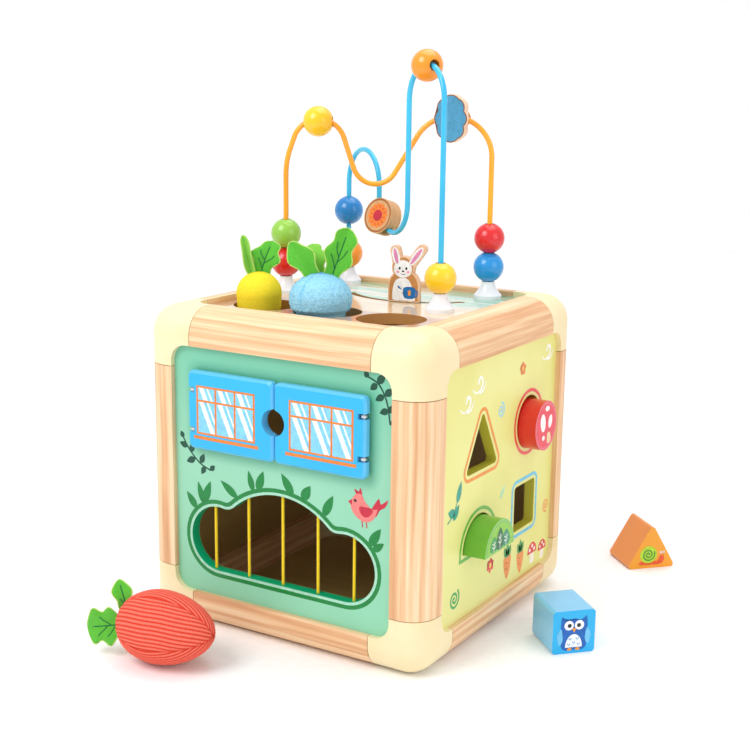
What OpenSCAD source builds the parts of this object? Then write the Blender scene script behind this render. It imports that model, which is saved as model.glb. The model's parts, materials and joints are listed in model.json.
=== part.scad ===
// Baby activity cube: a wooden play cube with a bead maze on its top board.
// Millimetres, +Z up. The origin is the middle of the base, on the surface it stands on.
// -Y is the side with the shutters and +X is the shape sorter.

/* [Cube frame] */
// Outside size of the cube along every side
cube_size = 350; // [330:1:420]
// Width of the square rails and posts
rail_w = 39; // [36:1:44]
// Length of a corner block along each edge of the cube
corner_len = 63; // [62:1:70]
// Rounding of the cube's outer edges and corners
edge_r = 30; // [20:1:32]
// Rounding of the panel openings' corners
opening_r = 18; // [10:1:20]
// Narrow gap between a rail's end and a corner block
joint_gap = 0.8; // [0.4:0.1:1.2]
// Diameter of the dowels in the rail joints
dowel_d = 8; // [6:1:10]
// Length of the dowels
dowel_len = 32; // [24:1:40]

/* [Panels] */
// Thickness of the side and top panels
panel_t = 12; // [9:1:15]
// How far a panel's face lies behind the rails' faces
panel_recess = 6; // [3:1:9]
// How deep a panel's edge goes into the rails
groove_d = 5; // [3:1:7]
// Thickness of the bottom board
bottom_t = 9; // [6:1:12]

/* [Shutters] */
// Width of one shutter
shutter_w = 109.5; // [90:0.5:112]
// Height of one shutter
shutter_h = 84; // [70:1:100]
// Thickness of a shutter
shutter_t = 10.5; // [9:0.5:12]
// Gap between the closed shutters
shutter_gap = 1; // [0.6:0.1:2]
// Height of the shutters' middle above the base
shutter_z = 245; // [240:1:250]
// Diameter of the finger hole between the shutters
finger_d = 28; // [20:1:32]
// Diameter of the hinge pins
hinge_pin_d = 3; // [2.5:0.5:4]
// Distance from the shutters' middle height to each hinge eye
hinge_dz = 21.5; // [18:0.5:26]

/* [String window] */
// Half the distance between the cloud's two end lobes
lobe_x = 80; // [72:1:84]
// Radius of the end lobes
lobe_r = 36; // [30:1:38]
// Height of the lobes' centres above the base
lobe_z = 103; // [100:1:108]
// Radius of the cloud's middle bump
bump_r = 89; // [80:1:95]
// Height of the top of the bump above the base
bump_top = 165; // [160:1:170]
// Diameter of the elastic strings
string_d = 3.4; // [2.5:0.1:5]
// Distance between the strings
string_pitch = 44; // [36:1:48]

/* [Shape sorter] */
// Side of the triangular hole
tri_side = 73; // [60:1:76]
// Diameter of the round hole
round_d = 60; // [50:1:64]
// Side of the square hole
square_side = 52; // [46:1:56]
// Radius of the half-round hole
half_r = 36; // [32:1:38]
// How much smaller than its hole a block is, on each side
block_gap = 2.2; // [1.5:0.1:4]
// Length of the blocks
block_len = 56; // [44:1:60]

/* [Vegetable garden] */
// Width of the yellow vegetable
yellow_d = 51; // [46:1:56]
// Width of the blue vegetable
blue_d = 68; // [60:1:72]
// Length of the coral vegetable
coral_len = 110; // [90:1:120]
// Width of the coral vegetable
coral_d = 77; // [66:1:80]
// Diameter of the vegetable holes
veg_hole_d = 74; // [64:1:76]
// Distance between the vegetable holes
veg_pitch = 79; // [77:1:80]
// Depth of the tray below the top panel
tray_depth = 27; // [20:1:34]
// Thickness of the tray
tray_t = 9; // [6:1:12]

/* [Bead maze] */
// Diameter of the wires
wire_d = 6; // [5:0.5:6.5]
// Diameter of the round beads
bead_d = 34.5; // [32:0.5:36]
// Diameter of the beads' bores
bead_bore = 12; // [11.5:0.1:13]
// Diameter of the feet
foot_d = 31.6; // [28:1:34]
// Height of the feet
foot_h = 19.5; // [16:0.5:24]

/* [Rabbit] */
// Height of the rabbit plate
rabbit_h = 64; // [60:1:64]
// Thickness of the rabbit plate
rabbit_t = 9; // [7:1:11]
// Width of the slot that the rabbit moves in
slot_w = 8; // [7:0.5:10]

/* [Gears] */
// Number of teeth on each gear
gear_teeth = 12; // [10:1:14]
// Tooth module: pitch diameter divided by the number of teeth
gear_module = 5.5; // [5:0.1:5.6]
// Thickness of the gears
gear_t = 9; // [7:1:12]
// Diameter of the gear bolts
bolt_d = 8; // [6:1:10]

/* [Hidden] */
$fn = 72;

pine = "burlywood";
cream = "wheat";
half = cube_size / 2;
opening = cube_size - 2 * rail_w;
eps = 1;                       // how far a cut runs past what it cuts
glue = 0.05;                   // radial room round glued dowels, shanks and strings
touch_gap = 0.3;               // room between loose pieces that rest on each other

// ---------- places derived from the frame ----------
panel_front = half - panel_recess;            // distance of a panel's face from the cube's middle
panel_back = panel_front - panel_t;
top_z = cube_size - panel_recess;             // upper face of the top panel
rail_c = half - rail_w / 2;                   // distance of a rail's centre line from the middle
rail_len = cube_size - 2 * corner_len - 2 * joint_gap;

// ---------- frame ----------
module rounded_square(side, r) {
  union() {
    square([side, side - 2 * r], center = true);
    square([side - 2 * r, side], center = true);
    for (x = [-1, 1], y = [-1, 1]) translate([x * (side / 2 - r), y * (side / 2 - r)]) circle(r);
  }
}

// Turns a shape drawn flat, centred on the cube's middle, to face the right side (x),
// the front (y) or the top (z).
module facing(axis) {
  translate([0, 0, half])
    rotate(axis == "x" ? [90, 0, 90] : axis == "y" ? [90, 0, 0] : [0, 0, 0]) children();
}

// A square slab between two distances from the cube's middle, towards the side it faces.
module slab(axis, side, r, near, far) {
  facing(axis) translate([0, 0, near]) linear_extrude(far - near) rounded_square(side, r);
}

// Everything that is cut from the wooden frame: the openings, the panels' grooves
// and the rebate of the bottom board.
module frame_cuts() {
  for (axis = ["x", "y", "z"]) slab(axis, opening, opening_r, -half - eps, half + eps);
  groove_side = opening + 2 * groove_d + touch_gap;
  groove_r = opening_r + groove_d;
  for (axis = ["x", "y"]) {
    slab(axis, groove_side, groove_r, panel_back, panel_front);
    slab(axis, groove_side, groove_r, -panel_front, -panel_back);
  }
  slab("z", groove_side, groove_r, panel_back, panel_front);
  slab("z", groove_side, groove_r, -half - eps, bottom_t - half);
}

// Section of a rail, with its outer edge towards +x and +y.
module rail_section() {
  difference() {
    square(rail_w, center = true);
    translate([rail_w / 2 - edge_r, rail_w / 2 - edge_r])
      difference() {
        square(edge_r + eps);
        circle(edge_r);
      }
  }
}

module dowel_along_z(extra) {
  cylinder(d = dowel_d + 2 * extra, h = dowel_len + 2 * extra, center = true);
}

// All dowels, in the middle of the rails' sections and across the joints.
module dowels(extra) {
  joint = half - corner_len;
  translate([0, 0, half])
    for (a = [-1, 1], b = [-1, 1], c = [-1, 1]) {
      translate([a * rail_c, b * rail_c, c * joint]) dowel_along_z(extra);
      translate([a * rail_c, c * joint, b * rail_c]) rotate([90, 0, 0]) dowel_along_z(extra);
      translate([c * joint, a * rail_c, b * rail_c]) rotate([0, 90, 0]) dowel_along_z(extra);
    }
}

// A rail that is first drawn upright at the +x +y corner, then turned to its place.
module rail(turn, flip) {
  color(pine) difference() {
    translate([0, 0, half]) rotate(turn) mirror([flip[0], 0, 0]) mirror([0, flip[1], 0])
      translate([rail_c, rail_c, 0]) linear_extrude(rail_len, center = true) rail_section();
    frame_cuts();
    dowels(glue);
  }
}

upright = [0, 0, 0];
along_x = [0, 90, 0];          // drawn x becomes -z, drawn y stays y
along_y = [-90, 0, 0];         // drawn y becomes -z, drawn x stays x
module post_front_left() rail(upright, [1, 1]);
module post_front_right() rail(upright, [0, 1]);
module post_back_left() rail(upright, [1, 0]);
module post_back_right() rail(upright, [0, 0]);
module top_rail_front() rail(along_x, [1, 1]);
module top_rail_back() rail(along_x, [1, 0]);
module top_rail_left() rail(along_y, [1, 1]);
module top_rail_right() rail(along_y, [0, 1]);
module bottom_rail_front() rail(along_x, [0, 1]);
module bottom_rail_back() rail(along_x, [0, 0]);
module bottom_rail_left() rail(along_y, [1, 0]);
module bottom_rail_right() rail(along_y, [0, 0]);

// Rounded blank of a corner block, with its outer corner at the origin.
module corner_blank() {
  run = corner_len - edge_r;
  translate([edge_r, edge_r, edge_r]) {
    sphere(edge_r);
    cylinder(r = edge_r, h = run);
    rotate([0, 90, 0]) cylinder(r = edge_r, h = run);
    rotate([-90, 0, 0]) cylinder(r = edge_r, h = run);
  }
  translate([edge_r, edge_r, 0]) cube([run, run, corner_len]);
  translate([edge_r, 0, edge_r]) cube([run, corner_len, run]);
  translate([0, edge_r, edge_r]) cube([corner_len, run, run]);
}

// The four corner blocks of one level: 1 is the top of the cube and -1 the bottom.
module corner_blocks(level) {
  color(cream) difference() {
    translate([0, 0, half])
      for (x = [0, 1], y = [0, 1])
        mirror([x, 0, 0]) mirror([0, y, 0]) mirror([0, 0, level > 0 ? 1 : 0])
          translate([-half, -half, -half]) corner_blank();
    frame_cuts();
    dowels(glue);
  }
}
module corner_blocks_top() corner_blocks(1);
module corner_blocks_bottom() corner_blocks(-1);

module frame_dowels() color("tan") dowels(0);

// ---------- panels ----------
// A panel on the side that the axis faces (1) or on the opposite side (-1).
module panel_blank(axis, side) {
  near = side > 0 ? panel_back : -panel_front;
  slab(axis, opening + 2 * groove_d, opening_r + groove_d, near, near + panel_t);
}

function arc(c, r, from, to, steps) =
  [for (i = [0:steps]) let (a = from + (to - from) * i / steps) [c[0] + r * cos(a), c[1] + r * sin(a)]];

// Outline of the cloud: two end lobes, a wide bump, and a fillet in each dip between them.
dip_r = 16;
bump_z = bump_top - bump_r;
lobe_dist = norm([lobe_x, lobe_z - bump_z]);
lobe_dir = atan2(lobe_z - bump_z, lobe_x);
dip_reach = bump_r + dip_r;
dip_dir = lobe_dir + acos((pow(dip_reach, 2) + pow(lobe_dist, 2) - pow(lobe_r + dip_r, 2))
                          / (2 * dip_reach * lobe_dist));
dip_c = [dip_reach * cos(dip_dir), bump_z + dip_reach * sin(dip_dir)];
lobe_end = atan2(dip_c[1] - lobe_z, dip_c[0] - lobe_x);
cloud_right = concat(arc([lobe_x, lobe_z], lobe_r, -90, lobe_end, 24),
                     arc(dip_c, dip_r, lobe_end - 180, dip_dir - 180, 8),
                     arc([0, bump_z], bump_r, dip_dir, 90, 12));
cloud_left = [for (i = [len(cloud_right) - 2:-1:0]) [-cloud_right[i][0], cloud_right[i][1]]];
function cloud_height(x) =
  max(bump_z + sqrt(pow(bump_r, 2) - pow(x, 2)),
      abs(abs(x) - lobe_x) < lobe_r ? lobe_z + sqrt(pow(lobe_r, 2) - pow(abs(x) - lobe_x, 2)) : 0);

string_y = -(panel_front - panel_t / 2);
string_hold = 8;               // how deep a string's end goes into the panel
module strings(extra) {
  for (i = [-2:2]) {
    x = i * string_pitch;
    low = lobe_z - lobe_r - string_hold - extra;
    translate([x, string_y, low])
      cylinder(d = string_d + 2 * extra, h = cloud_height(x) + string_hold + extra - low);
  }
}

// Hinge geometry of the shutters. The pin's axis is in the middle of the shutter's thickness.
shutter_off = 1;               // room between a closed shutter and the panel
hinge_in = 4.5;                // from a shutter's outer edge to the pin's axis
hinge_x = shutter_gap / 2 + shutter_w - hinge_in;
hinge_y = -(panel_front + shutter_off + shutter_t / 2);
eye_d = 7.2;
eye_t = 2.6;
eye_wire = 2.8;                // diameter of an eye's shank
eye_hold = 9;                  // how deep a shank goes into the panel
pin_run = 0.06;                // radial room of a pin in its eyes
notch_h = 6;
notch_in = hinge_in + 4.6;

window_w = 172;                // dark window behind the shutters
window_h = 54;
window_r = 10;

module eye_shanks(extra) {
  for (side = [-1, 1], dz = [-hinge_dz, hinge_dz])
    translate([side * hinge_x, hinge_y, shutter_z + dz]) rotate([-90, 0, 0])
      translate([0, 0, eye_d / 2 - 0.8])
        cylinder(d = eye_wire + 2 * extra,
                 h = -hinge_y - panel_front + eye_hold + extra - eye_d / 2 + 0.8);
}

module front_panel() {
  color("mediumaquamarine") difference() {
    panel_blank("y", 1);
    translate([0, -panel_back + eps, 0]) rotate([90, 0, 0])
      linear_extrude(panel_t + 2 * eps) polygon(concat(cloud_right, cloud_left));
    translate([0, -panel_back + eps, shutter_z]) rotate([90, 0, 0])
      linear_extrude(panel_t + 2 * eps) union() {
        square([window_w, window_h - 2 * window_r], center = true);
        square([window_w - 2 * window_r, window_h], center = true);
        for (x = [-1, 1], z = [-1, 1])
          translate([x * (window_w / 2 - window_r), z * (window_h / 2 - window_r)]) circle(window_r);
      }
    strings(glue);
    eye_shanks(glue);
  }
}

// Shape sorter, drawn flat: x runs towards the back of the cube and y upwards.
tri_at = [-44.5, 191];         // middle of the triangle's base
round_at = [68.5, 218.5];
square_at = [64, 123];
half_at = [-47, 107.5];        // middle of the half-round's flat edge
corner_round = 4;

function tri_points(side, r) =
  [for (k = [0:2]) each arc([(side / sqrt(3) - 2 * r) * cos(90 + 120 * k),
                             (side / sqrt(3) - 2 * r) * sin(90 + 120 * k)],
                            r, 30 + 120 * k, 150 + 120 * k, 8)];
module tri_profile(side) {
  translate([0, side / (2 * sqrt(3))]) polygon(tri_points(side, corner_round));
}
module half_profile(r) {
  difference() {
    circle(r);
    translate([-r - eps, -r - eps]) square([2 * r + 2 * eps, r + eps]);
  }
}

module right_panel() {
  color("khaki") difference() {
    panel_blank("x", 1);
    translate([panel_back - eps, 0, 0]) rotate([90, 0, 90]) linear_extrude(panel_t + 2 * eps) {
      translate(tri_at) tri_profile(tri_side);
      translate(round_at) circle(d = round_d);
      translate(square_at) rounded_square(square_side, corner_round);
      translate(half_at) half_profile(half_r);
    }
  }
}

module back_panel() color("skyblue") panel_blank("y", -1);

// Gears on the left side: the middle one meshes with one towards the front and one
// towards the back, both 30 degrees above it.
pitch_r = gear_module * gear_teeth / 2;
gear_mid = [0, 165];
gear_side = [2 * pitch_r * cos(30), 2 * pitch_r * sin(30)];
gear_places = [[-gear_side[0], gear_mid[1] + gear_side[1]], gear_mid,
               [gear_side[0], gear_mid[1] + gear_side[1]]];
bolt_run = 0.08;               // radial room of a bolt in its gear
gear_face = panel_front + touch_gap;
bolt_head_d = 20;
bolt_head_t = 4;
nut_d = 16;
nut_t = 6;

module at_gears() {
  for (p = gear_places) translate([0, p[0], p[1]]) children();
}
// A rod along X on the left side, between two distances from the cube's middle.
module left_rod(d, near, far, sides) {
  translate([-far, 0, 0]) rotate([0, 90, 0]) cylinder(d = d, h = far - near, $fn = sides);
}

module left_panel() {
  color("lightsalmon") difference() {
    panel_blank("x", -1);
    at_gears() left_rod(bolt_d + 2 * glue, panel_back - eps, panel_front + eps, $fn);
  }
}
module gear_bolts() {
  head = gear_face + gear_t + touch_gap;
  color("silver") at_gears() {
    left_rod(bolt_d, panel_back - nut_t - 2, head + eps, $fn);
    left_rod(bolt_head_d, head, head + bolt_head_t, $fn);
  }
}
module gear_nuts() {
  color("silver") at_gears() difference() {
    left_rod(nut_d, panel_back - nut_t, panel_back, 6);
    left_rod(bolt_d + 2 * glue, panel_back - nut_t - eps, panel_back + eps, $fn);
  }
}

// Involute gear outline. The flanks' points follow the involute from the base circle.
pressure = 25;
gear_play = 0.9;               // how much thinner a tooth is than half the pitch
base_r = pitch_r * cos(pressure);
tip_r = pitch_r + 0.75 * gear_module;
root_r = pitch_r - gear_module;
tooth_half = 90 / gear_teeth - gear_play / 2 / pitch_r * 180 / PI;
function involute(r) = let (t = sqrt(pow(r / base_r, 2) - 1)) t * 180 / PI - atan(t);
function flank(r) = tooth_half + involute(pitch_r) - involute(r);
flank_steps = 5;
function polar(r, a) = [r * cos(a), r * sin(a)];
function tooth(a) =
  concat([polar(root_r, a - flank(base_r))],
         [for (i = [0:flank_steps])
           let (r = base_r + (tip_r - base_r) * i / flank_steps) polar(r, a - flank(r))],
         [for (i = [flank_steps:-1:0])
           let (r = base_r + (tip_r - base_r) * i / flank_steps) polar(r, a + flank(r))],
         [polar(root_r, a + flank(base_r))]);
module gear(place, phase, tint) {
  color(tint) translate([-gear_face - gear_t, place[0], place[1]]) rotate([90, 0, 90])
    linear_extrude(gear_t) difference() {
      polygon([for (i = [0:gear_teeth - 1]) each tooth(phase + i * 360 / gear_teeth)]);
      circle(d = bolt_d + 2 * bolt_run);
    }
}
// The middle gear's teeth point at its neighbours, which turn a gap towards it.
half_tooth = 180 / gear_teeth;
module gear_front() gear(gear_places[0], 150 + 180 + half_tooth, "tomato");
module gear_middle() gear(gear_places[1], 30, "gold");
module gear_back() gear(gear_places[2], 30 + 180 + half_tooth, "dodgerblue");

// ---------- top panel, vegetable holes and tray ----------
veg_y = -73;
veg_x = [-5 - veg_pitch, -5, -5 + veg_pitch];
foot_at = [[-118, 11], [93, 110], [-102, 120], [92, -2]];   // orange wire's ends, blue wire's ends
slot_c = [8, 122];             // centre of the slot's arc
slot_r = 93;
slot_from = 229;               // directions of the slot's ends, seen from its centre
slot_to = 323;
rabbit_dir = 283;              // direction of the rabbit's place in the slot
peg_d = slot_w - 1;

drill_over = 0.6;              // how much wider the drilled ends of the slot are than its sawn middle
module arc_slot(w, h) {
  translate(slot_c) {
    rotate([0, 0, slot_from]) rotate_extrude(angle = slot_to - slot_from)
      translate([slot_r - w / 2, 0]) square([w, h]);
    for (a = [slot_from, slot_to]) translate(polar(slot_r, a)) cylinder(d = w + drill_over, h = h);
  }
}

module top_panel() {
  color("antiquewhite") difference() {
    panel_blank("z", 1);
    translate([0, 0, top_z - panel_t - eps]) {
      for (x = veg_x) translate([x, veg_y, 0]) cylinder(d = veg_hole_d, h = panel_t + 2 * eps);
      for (p = foot_at) translate(p) cylinder(d = wire_d + 2 * glue, h = panel_t + 2 * eps);
      arc_slot(slot_w, panel_t + 2 * eps);
    }
  }
}

module bottom_panel() {
  color("burlywood") slab("z", opening + 2 * groove_d, opening_r + groove_d, -half, bottom_t - half);
}

// Shallow trough below the holes that the vegetables stand in.
tray_half_d = 46;              // half of the trough's depth from front to back
tray_top = top_z - panel_t;
tray_floor = tray_top - tray_depth;
module vegetable_tray() {
  tray_w = opening - 6;
  color("burlywood") difference() {
    translate([-tray_w / 2, veg_y - tray_half_d, tray_floor - tray_t])
      cube([tray_w, 2 * tray_half_d, tray_depth + tray_t]);
    translate([-tray_w / 2 + tray_t, veg_y - tray_half_d - eps, tray_floor])
      cube([tray_w - 2 * tray_t, 2 * tray_half_d + 2 * eps, tray_depth + eps]);
  }
}

// ---------- shutters ----------
edge_cut = 2.5;                // bevel all round a shutter
shutter_r = 6;
pin_len = shutter_h / 2 + hinge_dz + 12;

// The right shutter; the left one is its mirror image.
module shutter_right_shape() {
  back = -(panel_front + shutter_off);
  mid = shutter_gap / 2 + shutter_w / 2;
  low = shutter_z - shutter_h / 2;
  difference() {
    translate([mid, back, shutter_z]) rotate([90, 0, 0]) hull() {
      translate([0, 0, edge_cut]) linear_extrude(shutter_t - 2 * edge_cut)
        shutter_outline(0, 32);
      linear_extrude(shutter_t) shutter_outline(edge_cut, 32);
    }
    translate([0, back + eps, shutter_z]) rotate([90, 0, 0])
      cylinder(d = finger_d, h = shutter_t + 2 * eps);
    for (dz = [-hinge_dz, hinge_dz])
      translate([hinge_x + hinge_in - notch_in, back - shutter_t - eps, shutter_z + dz - notch_h / 2])
        cube([notch_in + eps, shutter_t + 2 * eps, notch_h]);
    translate([hinge_x, hinge_y, low - eps]) cylinder(d = hinge_pin_d, h = pin_len + eps);
  }
}
module shutter_outline(inset, sides) {
  x = shutter_w / 2 - inset;
  z = shutter_h / 2 - inset;
  r = shutter_r - inset / 2;
  hull() for (a = [-1, 1], b = [-1, 1])
    translate([a * (x - r), b * (z - r)]) circle(r, $fn = sides);
}
module shutter_right() color("deepskyblue") shutter_right_shape();
module shutter_left() color("deepskyblue") mirror([1, 0, 0]) shutter_right_shape();
module hinge_pin(side) {
  color("silver") translate([side * hinge_x, hinge_y, shutter_z - shutter_h / 2 + touch_gap])
    cylinder(d = hinge_pin_d, h = pin_len - touch_gap);
}
module hinge_pin_left() hinge_pin(-1);
module hinge_pin_right() hinge_pin(1);
module hinge_eyes() {
  color("silver") difference() {
    union() {
      eye_shanks(0);
      for (side = [-1, 1], dz = [-hinge_dz, hinge_dz])
        translate([side * hinge_x, hinge_y, shutter_z + dz])
          cylinder(d = eye_d, h = eye_t, center = true);
    }
    for (side = [-1, 1])
      translate([side * hinge_x, hinge_y, shutter_z - shutter_h / 2])
        cylinder(d = hinge_pin_d + 2 * pin_run, h = shutter_h);
  }
}
module elastic_strings() color("yellow") strings(0);

// ---------- bead maze ----------
foot_top_d = 15;
foot_rim = 4;                  // straight part at the foot's base
function foot_profile() =
  concat([[wire_d / 2 + glue, 0], [foot_d / 2, 0]],
         [for (i = [0:6]) let (u = i / 6)
           [foot_top_d / 2 + (foot_d - foot_top_d) / 2 * pow(1 - u, 1.8),
            foot_rim + (foot_h - foot_rim) * u]],
         [[wire_d / 2 + glue, foot_h]]);
module wire_feet() {
  color("white") for (p = foot_at) translate([p[0], p[1], top_z])
    rotate_extrude() polygon(foot_profile());
}

// A wire is drawn in its own upright plane: s runs from its first foot to its second foot.
function span(i) = norm(foot_at[2 * i + 1] - foot_at[2 * i]);
function heading(i) = atan2(foot_at[2 * i + 1][1] - foot_at[2 * i][1],
                            foot_at[2 * i + 1][0] - foot_at[2 * i][0]);
module wire_plane(i) {
  translate(foot_at[2 * i]) rotate([0, 0, heading(i)]) children();
}
wire_low = top_z - panel_t;

// Orange wire: a shoulder, an arch, a valley and a hill, joined by straight runs.
// It is drawn as a chain, each piece starting where the last one ends.
lean_dir = 70.5;               // directions of its three slanting runs
down_dir = -71.5;
up_dir = 59;
shoulder_r = 90;
arch_c = [38, top_z + 168];
arch_r = 30;
valley_r = 26;
hill_r = 45;
hill_c = [span(0) - hill_r, top_z + 158];
function right_of(a) = [sin(a), -cos(a)];
lean_len = ((shoulder_r - arch_r) * sin(lean_dir) - (shoulder_r - arch_c[0])) / cos(lean_dir);
rise_len = arch_c[1] - wire_low - (shoulder_r - arch_r) * cos(lean_dir) - lean_len * sin(lean_dir);
down_and_up = hill_c - arch_c + (arch_r + valley_r) * right_of(down_dir)
  - (valley_r + hill_r) * right_of(up_dir);
dip = cross(polar(1, down_dir), polar(1, up_dir));
down_len = cross(down_and_up, polar(1, up_dir)) / dip;
up_len = cross(polar(1, down_dir), down_and_up) / dip;
// A small round weld covers each place where a run meets a bend.
weld_d = wire_d + 0.4;
weld_in = 0.3;                 // how far short of a weld's middle the runs and bends stop
module run_then(len) {
  translate([0, 0, weld_in]) cylinder(d = wire_d, h = len - 2 * weld_in);
  translate([0, 0, len]) {
    sphere(d = weld_d);
    children();
  }
}
// A positive turn bends towards the second foot, a negative one back towards the first.
module bend_then(r, turn) {
  side = turn > 0 ? r : -r;
  short = weld_in / r * 180 / PI;
  translate([side, 0, 0]) {
    rotate([90, 0, 0]) rotate([0, 0, (turn > 0 ? 180 - turn : 0) + short])
      rotate_extrude(angle = abs(turn) - 2 * short) translate([r, 0]) circle(d = wire_d);
    rotate([0, turn, 0]) translate([-side, 0, 0]) {
      sphere(d = weld_d);
      children();
    }
  }
}
module wire_orange() {
  color("orange") wire_plane(0) translate([0, 0, wire_low])
    run_then(rise_len) bend_then(shoulder_r, 90 - lean_dir)
      run_then(lean_len) bend_then(arch_r, lean_dir - down_dir)
        run_then(down_len) bend_then(valley_r, down_dir - up_dir)
          run_then(up_len) bend_then(hill_r, up_dir + 90)
            cylinder(d = wire_d, h = hill_c[1] - wire_low);
}

// Blue wire: a low arch, a turn at the bottom and a high arch, joined by upright runs.
turn_r = 35;
high_r = 39;
low_r = span(1) / 2 - turn_r - high_r;
low_c = [low_r, top_z + 122];
turn_c = [2 * low_r + turn_r, top_z + 108];
high_c = [span(1) - high_r, top_z + 220];
half_turn = 180;
module wire_blue() {
  color("deepskyblue") wire_plane(1) translate([0, 0, wire_low])
    run_then(low_c[1] - wire_low) bend_then(low_r, half_turn)
      run_then(low_c[1] - turn_c[1]) bend_then(turn_r, -half_turn)
        run_then(high_c[1] - turn_c[1]) bend_then(high_r, half_turn)
          cylinder(d = wire_d, h = high_c[1] - wire_low);
}

// Beads on the upright ends of the wires.
bead_half = sqrt(pow(bead_d / 2, 2) - pow(bead_bore / 2, 2));   // centre to the bore's mouth
first_bead = top_z + foot_h + touch_gap + bead_half;
bead_step = 2 * bead_half + touch_gap;
module bored_ball() {
  difference() {
    sphere(d = bead_d);
    cylinder(d = bead_bore, h = bead_d + 2 * eps, center = true);
  }
}
module leg_bead(foot, z, tint) {
  color(tint) translate([foot_at[foot][0], foot_at[foot][1], z]) bored_ball();
}
// A piece on a bend hangs on the wire with the middle of its bore just inside the bend.
module on_bend(plane, c, r, at, length) {
  sag = r - sqrt(pow(r, 2) - pow(length / 2, 2));
  wire_plane(plane) translate([c[0], 0, c[1]]) rotate([0, -at, 0])
    translate([r - sag / 2, 0, 0]) children();
}
module bead_red_left() leg_bead(0, first_bead, "red");
module bead_green_left() leg_bead(0, first_bead + bead_step, "yellowgreen");
module bead_blue_right() leg_bead(1, first_bead, "dodgerblue");
module bead_red_right() leg_bead(1, first_bead + bead_step, "red");
module bead_orange_back() leg_bead(2, first_bead, "orange");
back_bead_z = top_z + 88;
module bead_blue_back() leg_bead(2, back_bead_z, "dodgerblue");
module bead_yellow_front() leg_bead(3, first_bead, "gold");
arch_bead_at = 92;             // directions of the beads on the bends, seen from the bends' centres
top_bead_at = 90;
flower_at = 218;
cloud_at = 90;
module bead_yellow_arch() {
  color("gold") on_bend(0, arch_c, arch_r, arch_bead_at, 2 * bead_half) bored_ball();
}
module bead_orange_top() {
  color("orange") on_bend(1, high_c, high_r, top_bead_at, 2 * bead_half) bored_ball();
}

// Flower bead: a disc with its bore along a diameter, turned about the bore to face the front.
flower_d = 41;
flower_t = 18;
flower_turn = -26;
wide_bore = 14;
flower_half = sqrt(pow(flower_d / 2, 2) - pow(wide_bore / 2, 2));
module bead_flower() {
  color("peru") on_bend(1, turn_c, turn_r, flower_at, 2 * flower_half) difference() {
    rotate([90, 0, flower_turn]) cylinder(d = flower_d, h = flower_t, center = true);
    cylinder(d = wide_bore, h = flower_d + 2 * eps, center = true);
  }
}

// Cloud bead: a block with a cloud outline, its bore from end to end.
cloud_w = 38;
cloud_t = 21;
cloud_turn = -9;
module cloud_outline() {
  for (z = [-12, 0, 12]) for (x = [-1, 1]) translate([x * (z == 0 ? 8 : 5), z]) circle(11);
  for (z = [-1, 1]) translate([0, z * 15]) circle(11.5);
}
module bead_cloud() {
  color("steelblue") on_bend(0, hill_c, hill_r, cloud_at, cloud_w) difference() {
    rotate([cloud_turn, 0, 0]) rotate([-90, 0, 0]) rotate([0, 0, -90])
      linear_extrude(cloud_t, center = true) cloud_outline();
    cylinder(d = bead_bore, h = 3 * cloud_w, center = true);
  }
}

// ---------- rabbit ----------
rabbit_lift = 0.6;
peg_z = top_z - panel_t - 8;
module at_rabbit() {
  translate([slot_c[0], slot_c[1], 0]) rotate([0, 0, rabbit_dir]) translate([slot_r, 0, 0])
    rotate([0, 0, 90]) children();
}
module rabbit_profile() {
  base_w = 36;
  translate([-base_w / 2, 0]) square([base_w, 16]);
  translate([0, base_w / 2]) circle(d = base_w);
  translate([-1, 38]) circle(d = 26);
  translate([-7, 40]) rotate(12) ear(rabbit_h - 41);
  translate([6, 40]) rotate(-36) ear(rabbit_h - 35);
}
module ear(length) {
  translate([-5.5, 0]) square([11, length - 5.5]);
  translate([0, length - 5.5]) circle(d = 11);
}
module rabbit_figure() {
  color("white") at_rabbit() difference() {
    translate([0, rabbit_t / 2, top_z + rabbit_lift]) rotate([90, 0, 0])
      linear_extrude(rabbit_t) rabbit_profile();
    translate([0, 0, top_z - eps]) cylinder(d = peg_d + 2 * glue, h = 14);
  }
}
module rabbit_peg() {
  color("burlywood") at_rabbit() translate([0, 0, peg_z])
    cylinder(d = peg_d, h = top_z + 11 - peg_z);
}
module rabbit_retainer() {
  color("burlywood") at_rabbit() translate([0, 0, peg_z]) difference() {
    cylinder(d = 20, h = 8 - rabbit_lift);
    translate([0, 0, -eps]) cylinder(d = peg_d + 2 * glue, h = 10);
  }
}

// ---------- vegetables ----------
yellow_at = [veg_x[0] - 11, veg_y];
blue_at = [veg_x[1] - 9, veg_y];
yellow_top = top_z + 36;
blue_top = top_z + 41;
waist_gap = 1;                 // room between a vegetable's waist and the rim of its hole
yellow_waist = veg_hole_d / 2 - 11 - 3 * waist_gap;
blue_waist = veg_hole_d / 2 - 9 - waist_gap;
plush_foot = tray_floor + touch_gap;

// Standing vegetable: a rounded foot, a waist in the hole and a wide crown above it.
module standing_plush(place, d, waist, top) {
  mid = top - 0.55 * (top - top_z);
  low_a = -acos(waist / (d / 2));
  soft = 9;
  translate(place) rotate_extrude() polygon(concat(
    [[0, plush_foot]],
    arc([waist - soft, plush_foot + soft], soft, -90, 0, 4),
    [for (i = [0:9]) let (a = low_a + (90 - low_a) * i / 10)
      [d / 2 * cos(a), mid + (top - mid) * sin(a)]],
    [[0, top]]));
}
module plush_yellow() color("gold") standing_plush(yellow_at, yellow_d, yellow_waist, yellow_top);
module plush_blue() color("lightblue") standing_plush(blue_at, blue_d, blue_waist, blue_top);

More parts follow.
